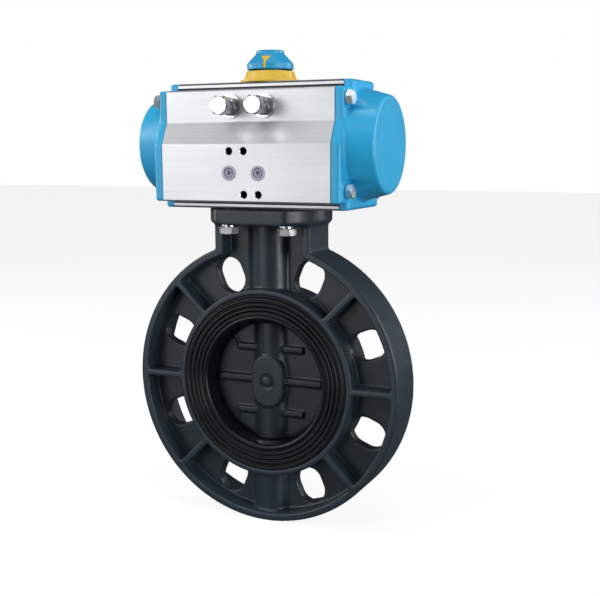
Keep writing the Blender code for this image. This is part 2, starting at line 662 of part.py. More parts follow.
def build_pinion(turning):
    gear = involute_gear(TEETH, MODULE, PISTON_AXIS - 13.5, PISTON_AXIS + 13.5)
    lower = rod(14.6, HOUSING_BOTTOM + 0.5, PISTON_AXIS - 12, sides=MEDIUM)
    upper = rod(10.5, PISTON_AXIS + 12, 236.0, sides=ROUND_SIDES)
    nose = box((-6, -6, 235), (6, 6, 239.5))
    pinion = join(gear, lower, upper, nose)
    socket = box((-8.5, -8.5, 130), (8.5, 8.5, HOUSING_BOTTOM + 20))
    thread = rod(2.6, 230, 245, sides=COARSE)
    groove_top = ring(8.6, 12, 223.8, 226.2, sides=ROUND_SIDES)
    groove_low = ring(12.4, 16, 143.8, 146.4, sides=MEDIUM)
    clip_groove = ring(9.2, 12, 234.2, 235.4, sides=ROUND_SIDES)
    pinion = cut(pinion, socket, thread, groove_top, groove_low, clip_groove)
    node(pinion, "pinion", "stem_steel", turning)
    node(ring(8.9, 12.9, 224.1, 225.9, sides=ROUND_SIDES), "pinion_seal_upper", "seal_rubber", turning)
    node(ring(12.7, 16.9, 144.1, 146.1, sides=MEDIUM), "pinion_seal_lower", "seal_rubber", turning)
    node(ring(10.8, 13.0, 226.6, 233.0, sides=ROUND_SIDES), "pinion_bearing_upper", "bearing_plastic")
    node(ring(10.8, 14.0, 233.5, 234.1, sides=ROUND_SIDES), "thrust_washer", "bearing_plastic")
    clip = ring(9.5, 12.4, 234.4, 235.2, sides=ROUND_SIDES)
    clip = cut(clip, box((-2.5, 8.0, 230), (2.5, 15.0, 240)))
    node(clip, "snap_ring", "stem_steel", turning)
    node(ring(14.9, 17.0, 147.0, 151.2, sides=MEDIUM), "pinion_bearing_lower", "bearing_plastic")


def stop_cam(turning):
    """A hub with one lobe: its two flats meet the stop screws at closed and at open."""
    flat = STOP_TIP_Y + GAP
    lobe_start = math.degrees(math.asin(flat / CAM_REACH))
    hub_end = math.degrees(math.asin(flat / CAM_HUB_RADIUS))
    lobe = arc((0, 0), CAM_REACH, lobe_start, 90 - lobe_start, 12)
    low, high = CAM_POCKET[0] + 2.0, CAM_POCKET[1] - 1.0
    outline = lobe + arc((0, 0), CAM_HUB_RADIUS, 90 - hub_end, 360 + hub_end, 12)
    cam = plate(outline, low, high, "Z", holes=[arc((0, 0), 10.8, 0, 345, 23)], name="cam")
    return node(cam, "stop_cam", "stem_steel", turning)


def rack_outline():
    """The right piston's rack in (x, y): straight teeth towards the pinion on its front side."""
    pitch = math.pi * MODULE
    slope = math.tan(math.radians(20))
    tip_y, root_y = -PITCH_RADIUS + MODULE, -PITCH_RADIUS - 1.25 * MODULE
    tip_half = pitch / 4 - MODULE * slope - BACKLASH / 2
    root_half = pitch / 4 + 1.25 * MODULE * slope - BACKLASH / 2
    back = -26.5
    points = [(PISTON_HEAD[0] + 4, back), (PISTON_HEAD[0] + 4, root_y)]
    first = math.floor((PISTON_HEAD[0] - root_half - 1) / pitch - 0.5)
    last = math.ceil((RACK_TIP + root_half) / pitch - 0.5)
    for number in range(first, last - 1, -1):
        centre = (number + 0.5) * pitch
        points += [(centre + root_half, root_y), (centre + tip_half, tip_y)]
        points += [(centre - tip_half, tip_y), (centre - root_half, root_y)]
    points += [(RACK_TIP, root_y), (RACK_TIP, back)]
    return points


def piston():
    """The right piston as a helper object, with its rack on the front side of the pinion."""
    inner, outer = PISTON_HEAD
    radius = CYLINDER_RADIUS - 0.5
    grooves = ((inner + 2.2, inner + 5.4), (outer - 6.0, outer - 2.4))
    profile = [(0, outer), (radius - 1.0, outer), (radius, outer - 1.0)]
    for low, high in reversed(grooves):
        profile += [(radius, high), (radius - 3.0, high), (radius - 3.0, low), (radius, low)]
    profile += [(radius, inner), (0, inner)]
    head = turned(profile, sides=CYLINDER_SIDES)
    head.data.transform(AXIS_TURN["X"])
    head.data.transform(Matrix.Translation((0, 0, PISTON_AXIS * MM)))
    rack = plate(rack_outline(), PISTON_AXIS - RACK_HALF_HEIGHT, PISTON_AXIS + RACK_HALF_HEIGHT, "Z")
    shape = join(head, rack)
    hollow = rod(24.0, outer - 6.5, outer + 5, "X", at=(0, 0, PISTON_AXIS), sides=MEDIUM)
    seat = box((-12.3, -40, PISTON_AXIS - 8.3), (12.3, -24.5, PISTON_AXIS + 8.3))
    return cut(shape, hollow, seat)


def guide_pad():
    """The plastic pad behind the right piston's rack, curved to the cylinder."""
    pad = box((-12.0, -40, PISTON_AXIS - 8.0), (12.0, -24.8, PISTON_AXIS + 8.0))
    return keep(pad, rod(CYLINDER_RADIUS - 0.4, -20, 20, "X", at=(0, 0, PISTON_AXIS), sides=CYLINDER_SIDES))


def build_pistons():
    inner, outer = PISTON_HEAD
    bore = CYLINDER_RADIUS - 0.25
    at = (0, 0, PISTON_AXIS)
    seal = ring(bore - 2.9, bore, outer - 5.7, outer - 2.7, "X", at=at, sides=CYLINDER_SIDES)
    guide = ring(bore - 2.9, bore, inner + 2.5, inner + 5.1, "X", at=at, sides=CYLINDER_SIDES)
    pieces = (
        ("piston", piston(), "piston_aluminium"),
        ("piston_seal", seal, "seal_rubber"),
        ("piston_guide_ring", guide, "bearing_plastic"),
        ("rack_guide", guide_pad(), "bearing_plastic"),
    )
    slides = {side: joint_empty(f"piston_{side}_slide", at) for side in ("left", "right")}
    for name, shape, finish in pieces:
        node(copy_of(shape, turn_z(180)), f"{name}_left", finish, slides["left"])
        node(shape, f"{name}_right", finish, slides["right"])


# ---------------------------------------------------------------- position indicator

def build_indicator(turning):
    base = turned(
        [(22.9, 235.4), (22.9, 233.6), (14.4, 233.6), (14.4, 240.0),
         (17.4, 241.8), (18.4, 241.8), (20.2, 235.6)],
        sides=CYLINDER_SIDES)
    node(base, "indicator_base", "indicator_yellow")
    cap = turned(
        [(0, 258.3), (10.6, 258.3), (11.4, 257.6), CAP_CONE[1], CAP_CONE[0], (17.9, 242.9), (16.9, 242.3),
         (15.2, 242.3), (15.2, 246.5), (9.5, 253.0), (9.5, 240.4), (0, 240.4)],
        sides=CYLINDER_SIDES)
    cap = cut(cap, pointer(GAP, 2.0, -1.3), rod(5.6, 254.0, 270, sides=COARSE))
    cap = cut(cap, box((-6.3, -6.3, 236), (6.3, 6.3, 240.9)), rod(2.6, 230, 256, sides=COARSE))
    node(cap, "indicator_cap", "indicator_blue", turning)
    node(pointer(0.0, 0.15, -1.0), "indicator_pointer", "indicator_yellow", turning)
    head = rod(5.0, 254.3, 257.4, sides=COARSE)
    screw = join(head, rod(2.3, 234.0, 255.0, sides=COARSE))
    screw = cut(screw, hex_rod(4.0, 255.8, 260))
    node(screw, "indicator_screw", "bright_steel", turning)


def pointer(grow, outer, inner):
    """The arrow inlaid in the cap's front, between two offsets from the cap's surface.

    With grow it is larger on all sides, to make its recess.
    """
    head, foot = 253.9 + grow, 243.6 - grow
    tip_half, waist_half, stem_half = 3.3 + grow, 1.7 + grow, 1.0 + grow
    side = [(tip_half, head), (tip_half, 253.3), (waist_half, 251.0), (stem_half, 248.6), (stem_half, foot)]
    outline = side + [(-x, z) for x, z in reversed(side)]
    arrow = plate(outline, -30, -5, "Y", name="arrow")
    arrow.data.transform(turn_z(POINTER_TURN))
    cone_low, cone_high = CAP_CONE
    outside = [(radius + outer, z) for radius, z in (cone_high, cone_low)]
    inside = [(radius + inner, z) for radius, z in (cone_low, cone_high)]
    low_z = 241.0
    below = [(cone_low[0] + outer, low_z), (cone_low[0] + inner, low_z)]
    shell = turned([*outside, *below, *inside], sides=CYLINDER_SIDES)
    return keep(arrow, shell)


# ---------------------------------------------------------------- assembly

def main():
    clear_scene()
    new_collection(ASSEMBLY)
    new_collection(TOOLS)
    turning = joint_empty("stem_hinge", (0, 0, 0))
    build_valve(turning)
    actuator_housing()
    build_caps()
    build_flange_bolts()
    build_stops()
    build_plugs()
    build_pinion(turning)
    stop_cam(turning)
    build_pistons()
    build_indicator(turning)


main()
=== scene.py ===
"""Looks of the wafer butterfly valve with its air actuator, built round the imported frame.

Shapes are made in millimetres in the frame's own axes: +Z up the stem, the flow along Y, the
front face towards -Y. Mouldings and castings come from distance fields, which round their edges
and fill their inner corners; turned, pressed and extruded pieces are made as plain meshes.
"""

import json
import math

import bmesh
import bpy
import numpy as np
from mathutils import Matrix, Vector

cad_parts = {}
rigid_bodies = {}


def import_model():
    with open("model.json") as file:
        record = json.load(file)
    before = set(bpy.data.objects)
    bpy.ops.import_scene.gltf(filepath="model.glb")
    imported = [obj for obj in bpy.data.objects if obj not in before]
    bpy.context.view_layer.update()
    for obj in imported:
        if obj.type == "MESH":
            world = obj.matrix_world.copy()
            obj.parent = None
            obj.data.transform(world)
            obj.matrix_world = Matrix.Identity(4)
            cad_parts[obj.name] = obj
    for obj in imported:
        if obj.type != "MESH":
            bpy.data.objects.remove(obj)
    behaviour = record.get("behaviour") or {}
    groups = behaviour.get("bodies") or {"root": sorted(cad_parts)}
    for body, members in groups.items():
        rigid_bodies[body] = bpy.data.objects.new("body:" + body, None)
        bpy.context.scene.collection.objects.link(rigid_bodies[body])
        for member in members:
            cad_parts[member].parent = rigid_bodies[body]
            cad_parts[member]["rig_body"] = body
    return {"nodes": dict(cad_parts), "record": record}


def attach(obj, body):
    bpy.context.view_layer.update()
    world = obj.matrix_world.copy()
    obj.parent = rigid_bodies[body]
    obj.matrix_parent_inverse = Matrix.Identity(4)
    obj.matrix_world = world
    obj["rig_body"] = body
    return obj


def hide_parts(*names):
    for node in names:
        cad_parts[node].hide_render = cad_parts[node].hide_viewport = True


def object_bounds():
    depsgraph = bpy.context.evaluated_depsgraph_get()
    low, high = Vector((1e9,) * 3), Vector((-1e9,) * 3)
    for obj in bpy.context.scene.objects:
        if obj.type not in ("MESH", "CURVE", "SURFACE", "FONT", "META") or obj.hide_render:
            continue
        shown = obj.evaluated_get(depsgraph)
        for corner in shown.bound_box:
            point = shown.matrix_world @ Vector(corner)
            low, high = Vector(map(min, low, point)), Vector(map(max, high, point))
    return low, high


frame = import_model()
cad_low, cad_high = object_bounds()

MM = 0.001
GAP = 0.3                    # clearance between pieces that touch

# Valve body.
RIM_RADIUS, RIM_INNER = 112.5, 106.5
BODY_HALF, WEB_HALF = 19.25, 4.5
HUB_RADIUS = 75.0
SEAT_RADIUS, SEAT_BACK = 70.5, 58.3
SEAT_FLOOR = 14.45
SLOT_CIRCLE, SLOT_RADIUS, SLOT_REACH = 90.0, 11.0, 3.5
RIB_HALF = 2.5
NECK_HALF, NECK_INNER = 40.8, 34.4
COLUMN_RADIUS, BOSS_RADIUS = 17.0, 14.8
FLANGE_RADIUS, FLANGE_FLAT = 47.8, 38.3
FLANGE_UNDER, FLANGE_TOP = 126.0, 138.0
F07_HALF = 24.75
STEM_BORE, BUSH_BORE = 8.3, 11.3

# Liner and disc.
LINER_LIP_RADIUS, LINER_BACK = 70.2, 58.0
BORE_RADIUS = 50.0
STEM_FLAT_Z, STEM_FLAT_RADIUS = 47.5, 16.0
RIDGES = (67.6, 63.4, 59.8, 56.4)

# Actuator.
HOUSING_HALF = 69.6
AXIS_Z = 185.8
CAP_START, CAP_FLANGE_END, CAP_END = 69.9, 77.3, 98.5
CAP_BOLT_Y, CAP_BOLT_Z = 33.0, 33.3
STOP_X, STOP_Z, FRONT_FACE = 13.8, 214.7, -39.2
STOP_HEX, STOP_HEX_HEIGHT, STOP_THREAD = 13.0, 6.3, 4.0
PORT_X, PORT_Z, PORT_FACE = 12.0, 165.6, -47.2
TAP_RADIUS, TAP_DEPTH = 2.75, 11.0
TAPPED = [(x, PORT_Z + z) for x, z in ((-PORT_X, 16), (0.0, 16), (0.0, -16), (PORT_X, -16))]
TOP_RAIL_FACE, BOTTOM_RAIL_FACE = -22.0, -31.5
# Grooves cut along the rails; their inner faces are painted dark as shade.
RAIL_GROOVES = (                # z low, z high, y start, y end, and the rail face they are cut in
    (227.3, 229.8, -23.0, -18.5, TOP_RAIL_FACE), (231.8, 232.8, -23.0, -21.0, TOP_RAIL_FACE),
    (141.6, 143.7, -33.0, -28.5, BOTTOM_RAIL_FACE), (138.9, 139.8, -33.0, -30.5, BOTTOM_RAIL_FACE),
)
SPRING_WASHER_TURN = {"left": 296, "right": 291}                # degrees to the washer's split
POINTER_TURN = 12.0

# Studio, in metres.
FLOOR_GLOW = 0.88
FLOOR_HALF, FLOOR_STEPS, SHELL_RADIUS = 6.0, 12, 9.0
ROOM_LIGHT = 0.063
LIGHT_TARGET = (0.0, 0.0, 0.08)

# Where a noise pattern starts and stops: its values rarely leave this band.
NOISE_LOW, NOISE_HIGH = 0.3, 0.7
SLANT = 0.7071                  # scales the sum of two distances back to a distance

SLOT_OF = {part["node"]: part["material_slot"] for part in frame["record"]["subparts"]}
BODY_OF = {name: obj["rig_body"] for name, obj in frame["nodes"].items()}


# ---------------------------------------------------------------- materials

class Shader:
    """A Principled material with short calls for the nodes that feed it."""

    def __init__(self, name, colour, roughness, metallic=0.0, **sockets):
        self.material = bpy.data.materials.new(name)
        self.material.use_nodes = True
        self.tree = self.material.node_tree
        self.surface = self.tree.nodes["Principled BSDF"]
        self.surface.inputs["Base Color"].default_value = (*colour, 1.0)
        self.surface.inputs["Roughness"].default_value = roughness
        self.surface.inputs["Metallic"].default_value = metallic
        for socket, value in sockets.items():
            self.surface.inputs[socket.replace("_", " ")].default_value = value
        self.material.diffuse_color = (*colour, 1.0)
        self.place = self.add("ShaderNodeTexCoord").outputs["Object"]
        self.height = None

    def add(self, kind, **settings):
        made = self.tree.nodes.new(kind)
        for key, value in settings.items():
            setattr(made, key, value)
        return made

    def link(self, output, target):
        self.tree.links.new(output, target)

    def noise(self, scale, stretch=(1, 1, 1), detail=3.0, roughness=0.55):
        """Noise at scale features a metre, drawn out along the axes by stretch."""
        mapping = self.add("ShaderNodeMapping")
        mapping.inputs["Scale"].default_value = stretch
        self.link(self.place, mapping.inputs["Vector"])
        noise = self.add("ShaderNodeTexNoise")
        noise.inputs["Scale"].default_value = scale
        noise.inputs["Detail"].default_value = detail
        noise.inputs["Roughness"].default_value = roughness
        self.link(mapping.outputs["Vector"], noise.inputs["Vector"])
        return noise.outputs["Fac"]

    def tint(self, value, dark, light, start=NOISE_LOW, end=NOISE_HIGH):
        """Base colour that runs from dark to light with a pattern."""
        ramp = self.add("ShaderNodeValToRGB")
        ramp.color_ramp.elements[0].position = start
        ramp.color_ramp.elements[1].position = end
        ramp.color_ramp.elements[0].color = (*dark, 1.0)
        ramp.color_ramp.elements[1].color = (*light, 1.0)
        self.link(value, ramp.inputs["Fac"])
        self.link(ramp.outputs["Color"], self.surface.inputs["Base Color"])

    def rough(self, value, low, high):
        """Roughness that runs from low to high with a pattern."""
        span = self.add("ShaderNodeMapRange")
        limits = (("From Min", NOISE_LOW), ("From Max", NOISE_HIGH), ("To Min", low), ("To Max", high))
        for socket, number in limits:
            span.inputs[socket].default_value = number
        self.link(value, span.inputs["Value"])
        self.link(span.outputs["Result"], self.surface.inputs["Roughness"])

    def bump(self, value, depth, strength=1.0):
        """Relief of the given depth in metres; a second call adds finer relief on top."""
        bump = self.add("ShaderNodeBump")
        bump.inputs["Strength"].default_value = strength
        bump.inputs["Distance"].default_value = depth
        self.link(value, bump.inputs["Height"])
        if self.height:
            self.link(self.height, bump.inputs["Normal"])
        self.height = bump.outputs["Normal"]
        self.link(self.height, self.surface.inputs["Normal"])


def scaled(colour, factor):
    return tuple(channel * factor for channel in colour)


def moulded(name, colour, roughness, grain=0.00003, flow=0.10, **sockets):
    """Moulded plastic: fine spark-eroded grain, soft flow marks and uneven gloss."""
    made = Shader(name, colour, roughness, **sockets)
    marks = made.noise(24, (1.0, 1.6, 0.8), detail=4.0)
    made.tint(marks, scaled(colour, 1 - flow), scaled(colour, 1 + flow))
    made.rough(made.noise(140, detail=4.0), roughness - 0.05, roughness + 0.06)
    made.bump(marks, 0.0004, 0.25)
    made.bump(made.noise(1900, detail=2.0), grain)
    return made.material


def rubber(name, colour, roughness):
    """Moulded rubber: dull bloom in patches over a close grain."""
    made = Shader(name, colour, roughness, Specular_IOR_Level=0.38)
    bloom = made.noise(55, detail=6.0, roughness=0.65)
    made.tint(bloom, scaled(colour, 0.8), scaled(colour, 1.5), 0.35, 0.75)
    made.rough(bloom, roughness - 0.07, roughness + 0.10)
    made.bump(made.noise(1500, detail=3.0), 0.00004)
    return made.material


def metal(name, colour, roughness, stretch=(1, 1, 1), scale=900, depth=0.00001, **sockets):
    """Machined or drawn metal: tool marks drawn out along one axis, and cloudy gloss."""
    made = Shader(name, colour, roughness, metallic=1.0, **sockets)
    marks = made.noise(scale, stretch, detail=4.0)
    made.tint(made.noise(45, detail=4.0), scaled(colour, 0.92), scaled(colour, 1.04))
    made.rough(marks, roughness - 0.05, roughness + 0.07)
    made.bump(marks, depth)
    return made.material


def satin_aluminium(name, colour):
    """Anodised extrusion: faint streaks along X from the die under a milky satin skin."""
    made = Shader(name, colour, 0.36, metallic=0.72, Coat_Weight=0.25, Coat_Roughness=0.35)
    streaks = made.noise(700, (0.012, 1.0, 1.0), detail=5.0, roughness=0.6)
    clouds = made.noise(18, (0.5, 1.0, 1.0), detail=3.0)
    made.tint(streaks, scaled(colour, 0.95), scaled(colour, 1.03))
    made.rough(clouds, 0.32, 0.42)
    made.bump(streaks, 0.000012)
    made.bump(made.noise(2600, detail=2.0), 0.000006)
    return made.material


def gloss_paint(name, colour):
    """Powder coat: gloss skin with a slight orange peel over the casting."""
    made = Shader(name, colour, 0.38, Coat_Weight=0.22, Coat_Roughness=0.24, Specular_IOR_Level=0.4)
    made.tint(made.noise(30, detail=3.0), scaled(colour, 0.95), scaled(colour, 1.05))
    made.rough(made.noise(260, detail=3.0), 0.32, 0.44)
    peel = made.noise(420, detail=2.0)
    made.bump(peel, 0.00006, 0.6)
    return made.material


def make_materials():
    return {
        "body_plastic": moulded("body_plastic_moulded", (0.0255, 0.040, 0.056), 0.34,
                                Specular_IOR_Level=0.5),
        "disc_plastic": moulded("disc_plastic_moulded", (0.018, 0.0285, 0.039), 0.36),
        "seat_rubber": rubber("seat_rubber_moulded", (0.0038, 0.0046, 0.0068), 0.36),
        "seal_rubber": rubber("seal_rubber_moulded", (0.012, 0.012, 0.012), 0.50),
        "anodised_aluminium": satin_aluminium("anodised_extrusion", (0.76, 0.775, 0.80)),
        "cap_paint": gloss_paint("cap_powder_coat", (0.032, 0.50, 0.90)),
        # Painted shade: a dark dull metal that stands for the shade inside the housing's tapped holes and
        # rail grooves.
        "hollows_painted_shade": metal("bore_and_groove_painted_shade", (0.13, 0.13, 0.14), 0.5, (1, 0.05, 1), 1300, 0.00008),
        "piston_aluminium": metal("piston_die_cast", (0.60, 0.61, 0.63), 0.42, scale=500, depth=0.00003),
        "bright_steel": metal("bright_plated_steel", (0.82, 0.825, 0.85), 0.19, scale=260, depth=0.0000015),
        "zinc_plate": metal("zinc_plated_bolt", (0.95, 0.955, 0.97), 0.36, scale=260, depth=0.0000015),
        "stem_steel": metal("turned_stainless", (0.58, 0.57, 0.56), 0.33, (0.1, 0.1, 1), 2200),
        "indicator_yellow": moulded("indicator_yellow_gloss", (0.93, 0.62, 0.075), 0.34, 0.00001, 0.04),
        "indicator_blue": moulded("indicator_blue_gloss", (0.026, 0.40, 0.72), 0.36, 0.00001, 0.04),
        "bearing_plastic": moulded("bearing_acetal", (0.66, 0.64, 0.56), 0.45, 0.00002, 0.05),
        "plug_plastic": moulded("plug_polythene", (0.66, 0.67, 0.82), 0.34, 0.00002, 0.05,
                                Transmission_Weight=0.15),
    }


MATERIALS = make_materials()


# ---------------------------------------------------------------- meshes

AXIS_TURN = {
    "X": Matrix.Rotation(math.radians(90), 4, "Y"),
    "Y": Matrix.Rotation(math.radians(-90), 4, "X"),
    "Z": Matrix.Identity(4),
}


def new_object(name, verts, faces):
    """A linked object from points in mm, with its faces turned outwards."""
    mesh = bpy.data.meshes.new(name)
    mesh.from_pydata(np.asarray(verts, float) * MM, [], faces)
    bm = bmesh.new()
    bm.from_mesh(mesh)
    bmesh.ops.recalc_face_normals(bm, faces=bm.faces)
    bm.to_mesh(mesh)
    bm.free()
    obj = bpy.data.objects.new(name, mesh)
    bpy.context.scene.collection.objects.link(obj)
    return obj


def settled(obj):
    """Applies the object's modifiers to its own mesh."""
    bpy.context.view_layer.update()
    graph = bpy.context.evaluated_depsgraph_get()
    mesh = bpy.data.meshes.new_from_object(obj.evaluated_get(graph))
    obj.modifiers.clear()
    old = obj.data
    obj.data = mesh
    bpy.data.meshes.remove(old)
    return obj


def moved(obj, axis="Z", at=(0, 0, 0), turn=0.0):
    """Turns the mesh about its own Z in degrees, lays Z along the axis, and shifts it, in mm."""
    spin = Matrix.Rotation(math.radians(turn), 4, "Z")
    obj.data.transform(Matrix.Translation(Vector(at) * MM) @ AXIS_TURN[axis] @ spin)
    return obj


def lathe(name, profile, axis="Z", at=(0, 0, 0), sides=96):
    """A closed (radius, height) outline turned about an axis."""
    verts, rings = [], []
    for radius, height in profile:
        count = sides if radius > 1e-6 else 1
        rings.append((len(verts), count))
        for step in range(count):
            angle = 2 * math.pi * step / sides
            verts.append((radius * math.cos(angle), radius * math.sin(angle), height))
    faces = []
    for (first, count_a), (second, count_b) in zip(rings, rings[1:] + rings[:1]):
        if count_a == count_b == 1:
            continue
        for step in range(sides):
            onward = (step + 1) % sides
            corners = [first + step % count_a, first + onward % count_a,
                       second + onward % count_b, second + step % count_b]
            faces.append(list(dict.fromkeys(corners)))
    return moved(new_object(name, verts, faces), axis, at)


def rounded(corners, radius, steps=4):
    """A closed outline with its corners rounded; radius is one number, or one for each corner."""
    radii = radius if isinstance(radius, (list, tuple)) else [radius] * len(corners)
    points = []
    for index, corner in enumerate(corners):
        here = Vector(corner)
        back = Vector(corners[index - 1]) - here
        onward = Vector(corners[(index + 1) % len(corners)]) - here
        size = radii[index]
        angle = back.angle(onward) / 2
        if size <= 0 or angle > math.radians(88):
            points.append(tuple(here))
            continue
        reach = min(size / math.tan(angle), back.length * 0.45, onward.length * 0.45)
        size = reach * math.tan(angle)
        middle = here + (back.normalized() + onward.normalized()).normalized() * (size / math.sin(angle))
        first = (here + back.normalized() * reach - middle) / size
        last = (here + onward.normalized() * reach - middle) / size
        sweep = first.angle(last)
        for step in range(steps + 1):
            share = sweep * step / steps
            bend = (first * math.sin(sweep - share) + last * math.sin(share)) / math.sin(sweep)
            points.append(tuple(middle + bend * size))
    return points


def turned_round(name, corners, radius=0.4, axis="Z", at=(0, 0, 0), sides=96):
    """A lathe shape whose corners are rounded, but not where it meets its axis."""
    radii = [radius if corner[0] > 1e-6 else 0 for corner in corners]
    return lathe(name, rounded(corners, radii), axis, at, sides)


def plate(name, outline, start, end, axis="Z"):
    """A flat outline extruded along an axis: (u, v) are (X, Y), (X, Z) for Y, (Y, Z) for X."""
    frames = {
        "Z": Matrix.Identity(4),
        "Y": Matrix(((1, 0, 0, 0), (0, 0, 1, 0), (0, 1, 0, 0), (0, 0, 0, 1))),
        "X": Matrix(((0, 0, 1, 0), (1, 0, 0, 0), (0, 1, 0, 0), (0, 0, 0, 1))),
    }
    count = len(outline)
    verts = [(u, v, level) for level in (start, end) for u, v in outline]
    faces = [[k, (k + 1) % count, (k + 1) % count + count, k + count] for k in range(count)]
    faces += [list(range(count)), list(range(2 * count - 1, count - 1, -1))]
    obj = new_object(name, verts, faces)
    obj.data.transform(frames[axis])
    return obj


def polygon(radius, sides):
    turns = [2 * math.pi * k / sides for k in range(sides)]
    return [(radius * math.cos(turn), radius * math.sin(turn)) for turn in turns]


def rod(radius, start, end, axis="Z", at=(0, 0, 0), sides=48):
    return lathe("rod", [(0, start), (radius, start), (radius, end), (0, end)], axis, at, sides)


def combine(obj, tools, operation):
    for tool in tools:
        step = obj.modifiers.new(operation, "BOOLEAN")
        step.operation = operation
        step.solver = "EXACT"
        step.object = tool
    settled(obj)
    for tool in tools:
        bpy.data.objects.remove(tool, do_unlink=True)
    return obj


def cut(obj, *tools):
    return combine(obj, tools, "DIFFERENCE")


def join(obj, *tools):
    return combine(obj, tools, "UNION")


def keep(obj, *tools):
    return combine(obj, tools, "INTERSECT")


def eased(obj, width, segments=2, angle=32):
    """Breaks every sharp edge with a small rounded bevel, width in mm."""
    bm = bmesh.new()
    bm.from_mesh(obj.data)
    bmesh.ops.remove_doubles(bm, verts=bm.verts, dist=0.000004)
    bmesh.ops.dissolve_limit(bm, angle_limit=math.radians(0.2), verts=bm.verts, edges=bm.edges)
    bm.to_mesh(obj.data)
    bm.free()
    bevel = obj.modifiers.new("ease", "BEVEL")
    bevel.width = width * MM
    bevel.segments = segments
    bevel.limit_method = "ANGLE"
    bevel.angle_limit = math.radians(angle)
    bevel.use_clamp_overlap = True
    return settled(obj)


def copied(obj, name, matrix):
    mesh = obj.data.copy()
    mesh.transform(matrix)
    if matrix.determinant() < 0:
        mesh.flip_normals()
    made = bpy.data.objects.new(name, mesh)
    bpy.context.scene.collection.objects.link(made)
    return made


def stand_for(obj, name, *nodes, smooth=35, finish=None):
    """Names a finished piece, gives it its material, and sets it in place of its CAD nodes."""
    obj.name = name
    obj.data.materials.clear()
    obj.data.materials.append(MATERIALS[finish or SLOT_OF[nodes[0]]])
    obj.data.shade_smooth()
    if smooth:
        obj.data.set_sharp_from_angle(angle=math.radians(smooth))
        weigh = obj.modifiers.new("weigh", "WEIGHTED_NORMAL")
        weigh.keep_sharp = True
        settled(obj)
    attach(obj, BODY_OF[nodes[0]])
    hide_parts(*nodes)
    return obj


# ---------------------------------------------------------------- distance fields, in mm

def sample_grid(low, high, step):
    """Sample places as x, y and z arrays that spread over a grid."""
    axes = [np.arange(a - 2 * step, b + 3 * step, step, dtype=np.float32) for a, b in zip(low, high)]
    return axes[0][:, None, None], axes[1][None, :, None], axes[2][None, None, :]


def fused(a, b, radius):
    """Union with a fillet of this radius where the two shapes meet."""
    inside = np.sqrt(np.maximum(radius - a, 0) ** 2 + np.maximum(radius - b, 0) ** 2)
    return np.maximum(radius, np.minimum(a, b)) - inside


def common(a, b, radius):
    """Intersection with its outer edge rounded to this radius."""
    outside = np.sqrt(np.maximum(radius + a, 0) ** 2 + np.maximum(radius + b, 0) ** 2)
    return np.minimum(-radius, np.maximum(a, b)) + outside


def without(a, b, radius):
    return common(a, -b, radius)


def outline_distance(points, u, v):
    """Signed distance to a closed outline, negative inside."""
    nearest, inside = np.float32(1e12), False
    for (au, av), (bu, bv) in zip(points, points[1:] + points[:1]):
        eu, ev = bu - au, bv - av
        along = np.clip(((u - au) * eu + (v - av) * ev) / (eu * eu + ev * ev), 0, 1)
        nearest = np.minimum(nearest, (u - au - along * eu) ** 2 + (v - av - along * ev) ** 2)
        if abs(ev) > 1e-9:
            crossed = ((av > v) != (bv > v)) & (u < eu * (v - av) / ev + au)
            inside = inside ^ crossed
    return np.where(inside, -1, 1) * np.sqrt(nearest)


def skinned(name, field, grid, keep_share=1.0):
    """The zero level of a distance field as a closed quad mesh, by surface nets."""
    origin = np.array([axis.flat[0] for axis in grid])
    step = float(grid[0].flat[1] - grid[0].flat[0])
    field = np.ascontiguousarray(np.broadcast_to(field, tuple(axis.size for axis in grid)))
    inside = field < 0
    quads, places = [], []
    for axis in range(3):
        low, high = [slice(None)] * 3, [slice(None)] * 3
        low[axis], high[axis] = slice(0, -1), slice(1, None)
        low, high = tuple(low), tuple(high)
        crossing = np.argwhere(inside[low] != inside[high])
        here = tuple(crossing.T)
        first, second = field[low][here], field[high][here]
        place = crossing.astype(float)
        place[:, axis] += first / (first - second)
        b, c = (axis + 1) % 3, (axis + 2) % 3
        around = []
        for back_b, back_c in ((1, 1), (0, 1), (0, 0), (1, 0)):
            cell = crossing.copy()
            cell[:, b] -= back_b
            cell[:, c] -= back_c
            around.append(np.ravel_multi_index(tuple(cell.T), field.shape))
        around = np.stack(around, 1)
        inwards = ~inside[low][here]
        around[inwards] = around[inwards][:, ::-1]
        quads.append(around)
        places.append(np.repeat(place, 4, axis=0))
    _, index = np.unique(np.concatenate(quads).ravel(), return_inverse=True)
    index = index.ravel()
    places = np.concatenate(places)
    count = np.bincount(index)
    verts = np.stack([np.bincount(index, places[:, k]) / count for k in range(3)], 1)
    verts = (origin + verts * step) * MM
    mesh = bpy.data.meshes.new(name)
    faces = index.reshape(-1, 4)
    mesh.vertices.add(len(verts))
    mesh.vertices.foreach_set("co", verts.ravel())
    mesh.loops.add(faces.size)
    mesh.loops.foreach_set("vertex_index", faces.ravel())
    mesh.polygons.add(len(faces))
    mesh.polygons.foreach_set("loop_start", np.arange(0, faces.size, 4))
    mesh.update(calc_edges=True)
    mesh.validate()
    obj = bpy.data.objects.new(name, mesh)
    bpy.context.scene.collection.objects.link(obj)
    if keep_share < 1.0:
        fewer = obj.modifiers.new("fewer", "DECIMATE")
        fewer.ratio = keep_share
        settled(obj)
    obj.data.shade_smooth()
    settle_on_field(obj.data, field, origin, step)
    return obj


def read_grid(values, cells):
    """Values of a sampled field between its grid points."""
    base = np.clip(np.floor(cells).astype(int), 0, np.array(values.shape) - 2)
    share = cells - base
    total = np.zeros(len(cells))
    for corner in np.ndindex(2, 2, 2):
        weight = np.prod(np.where(corner, share, 1 - share), axis=1)
        total += weight * values[tuple((base + corner).T)]
    return total


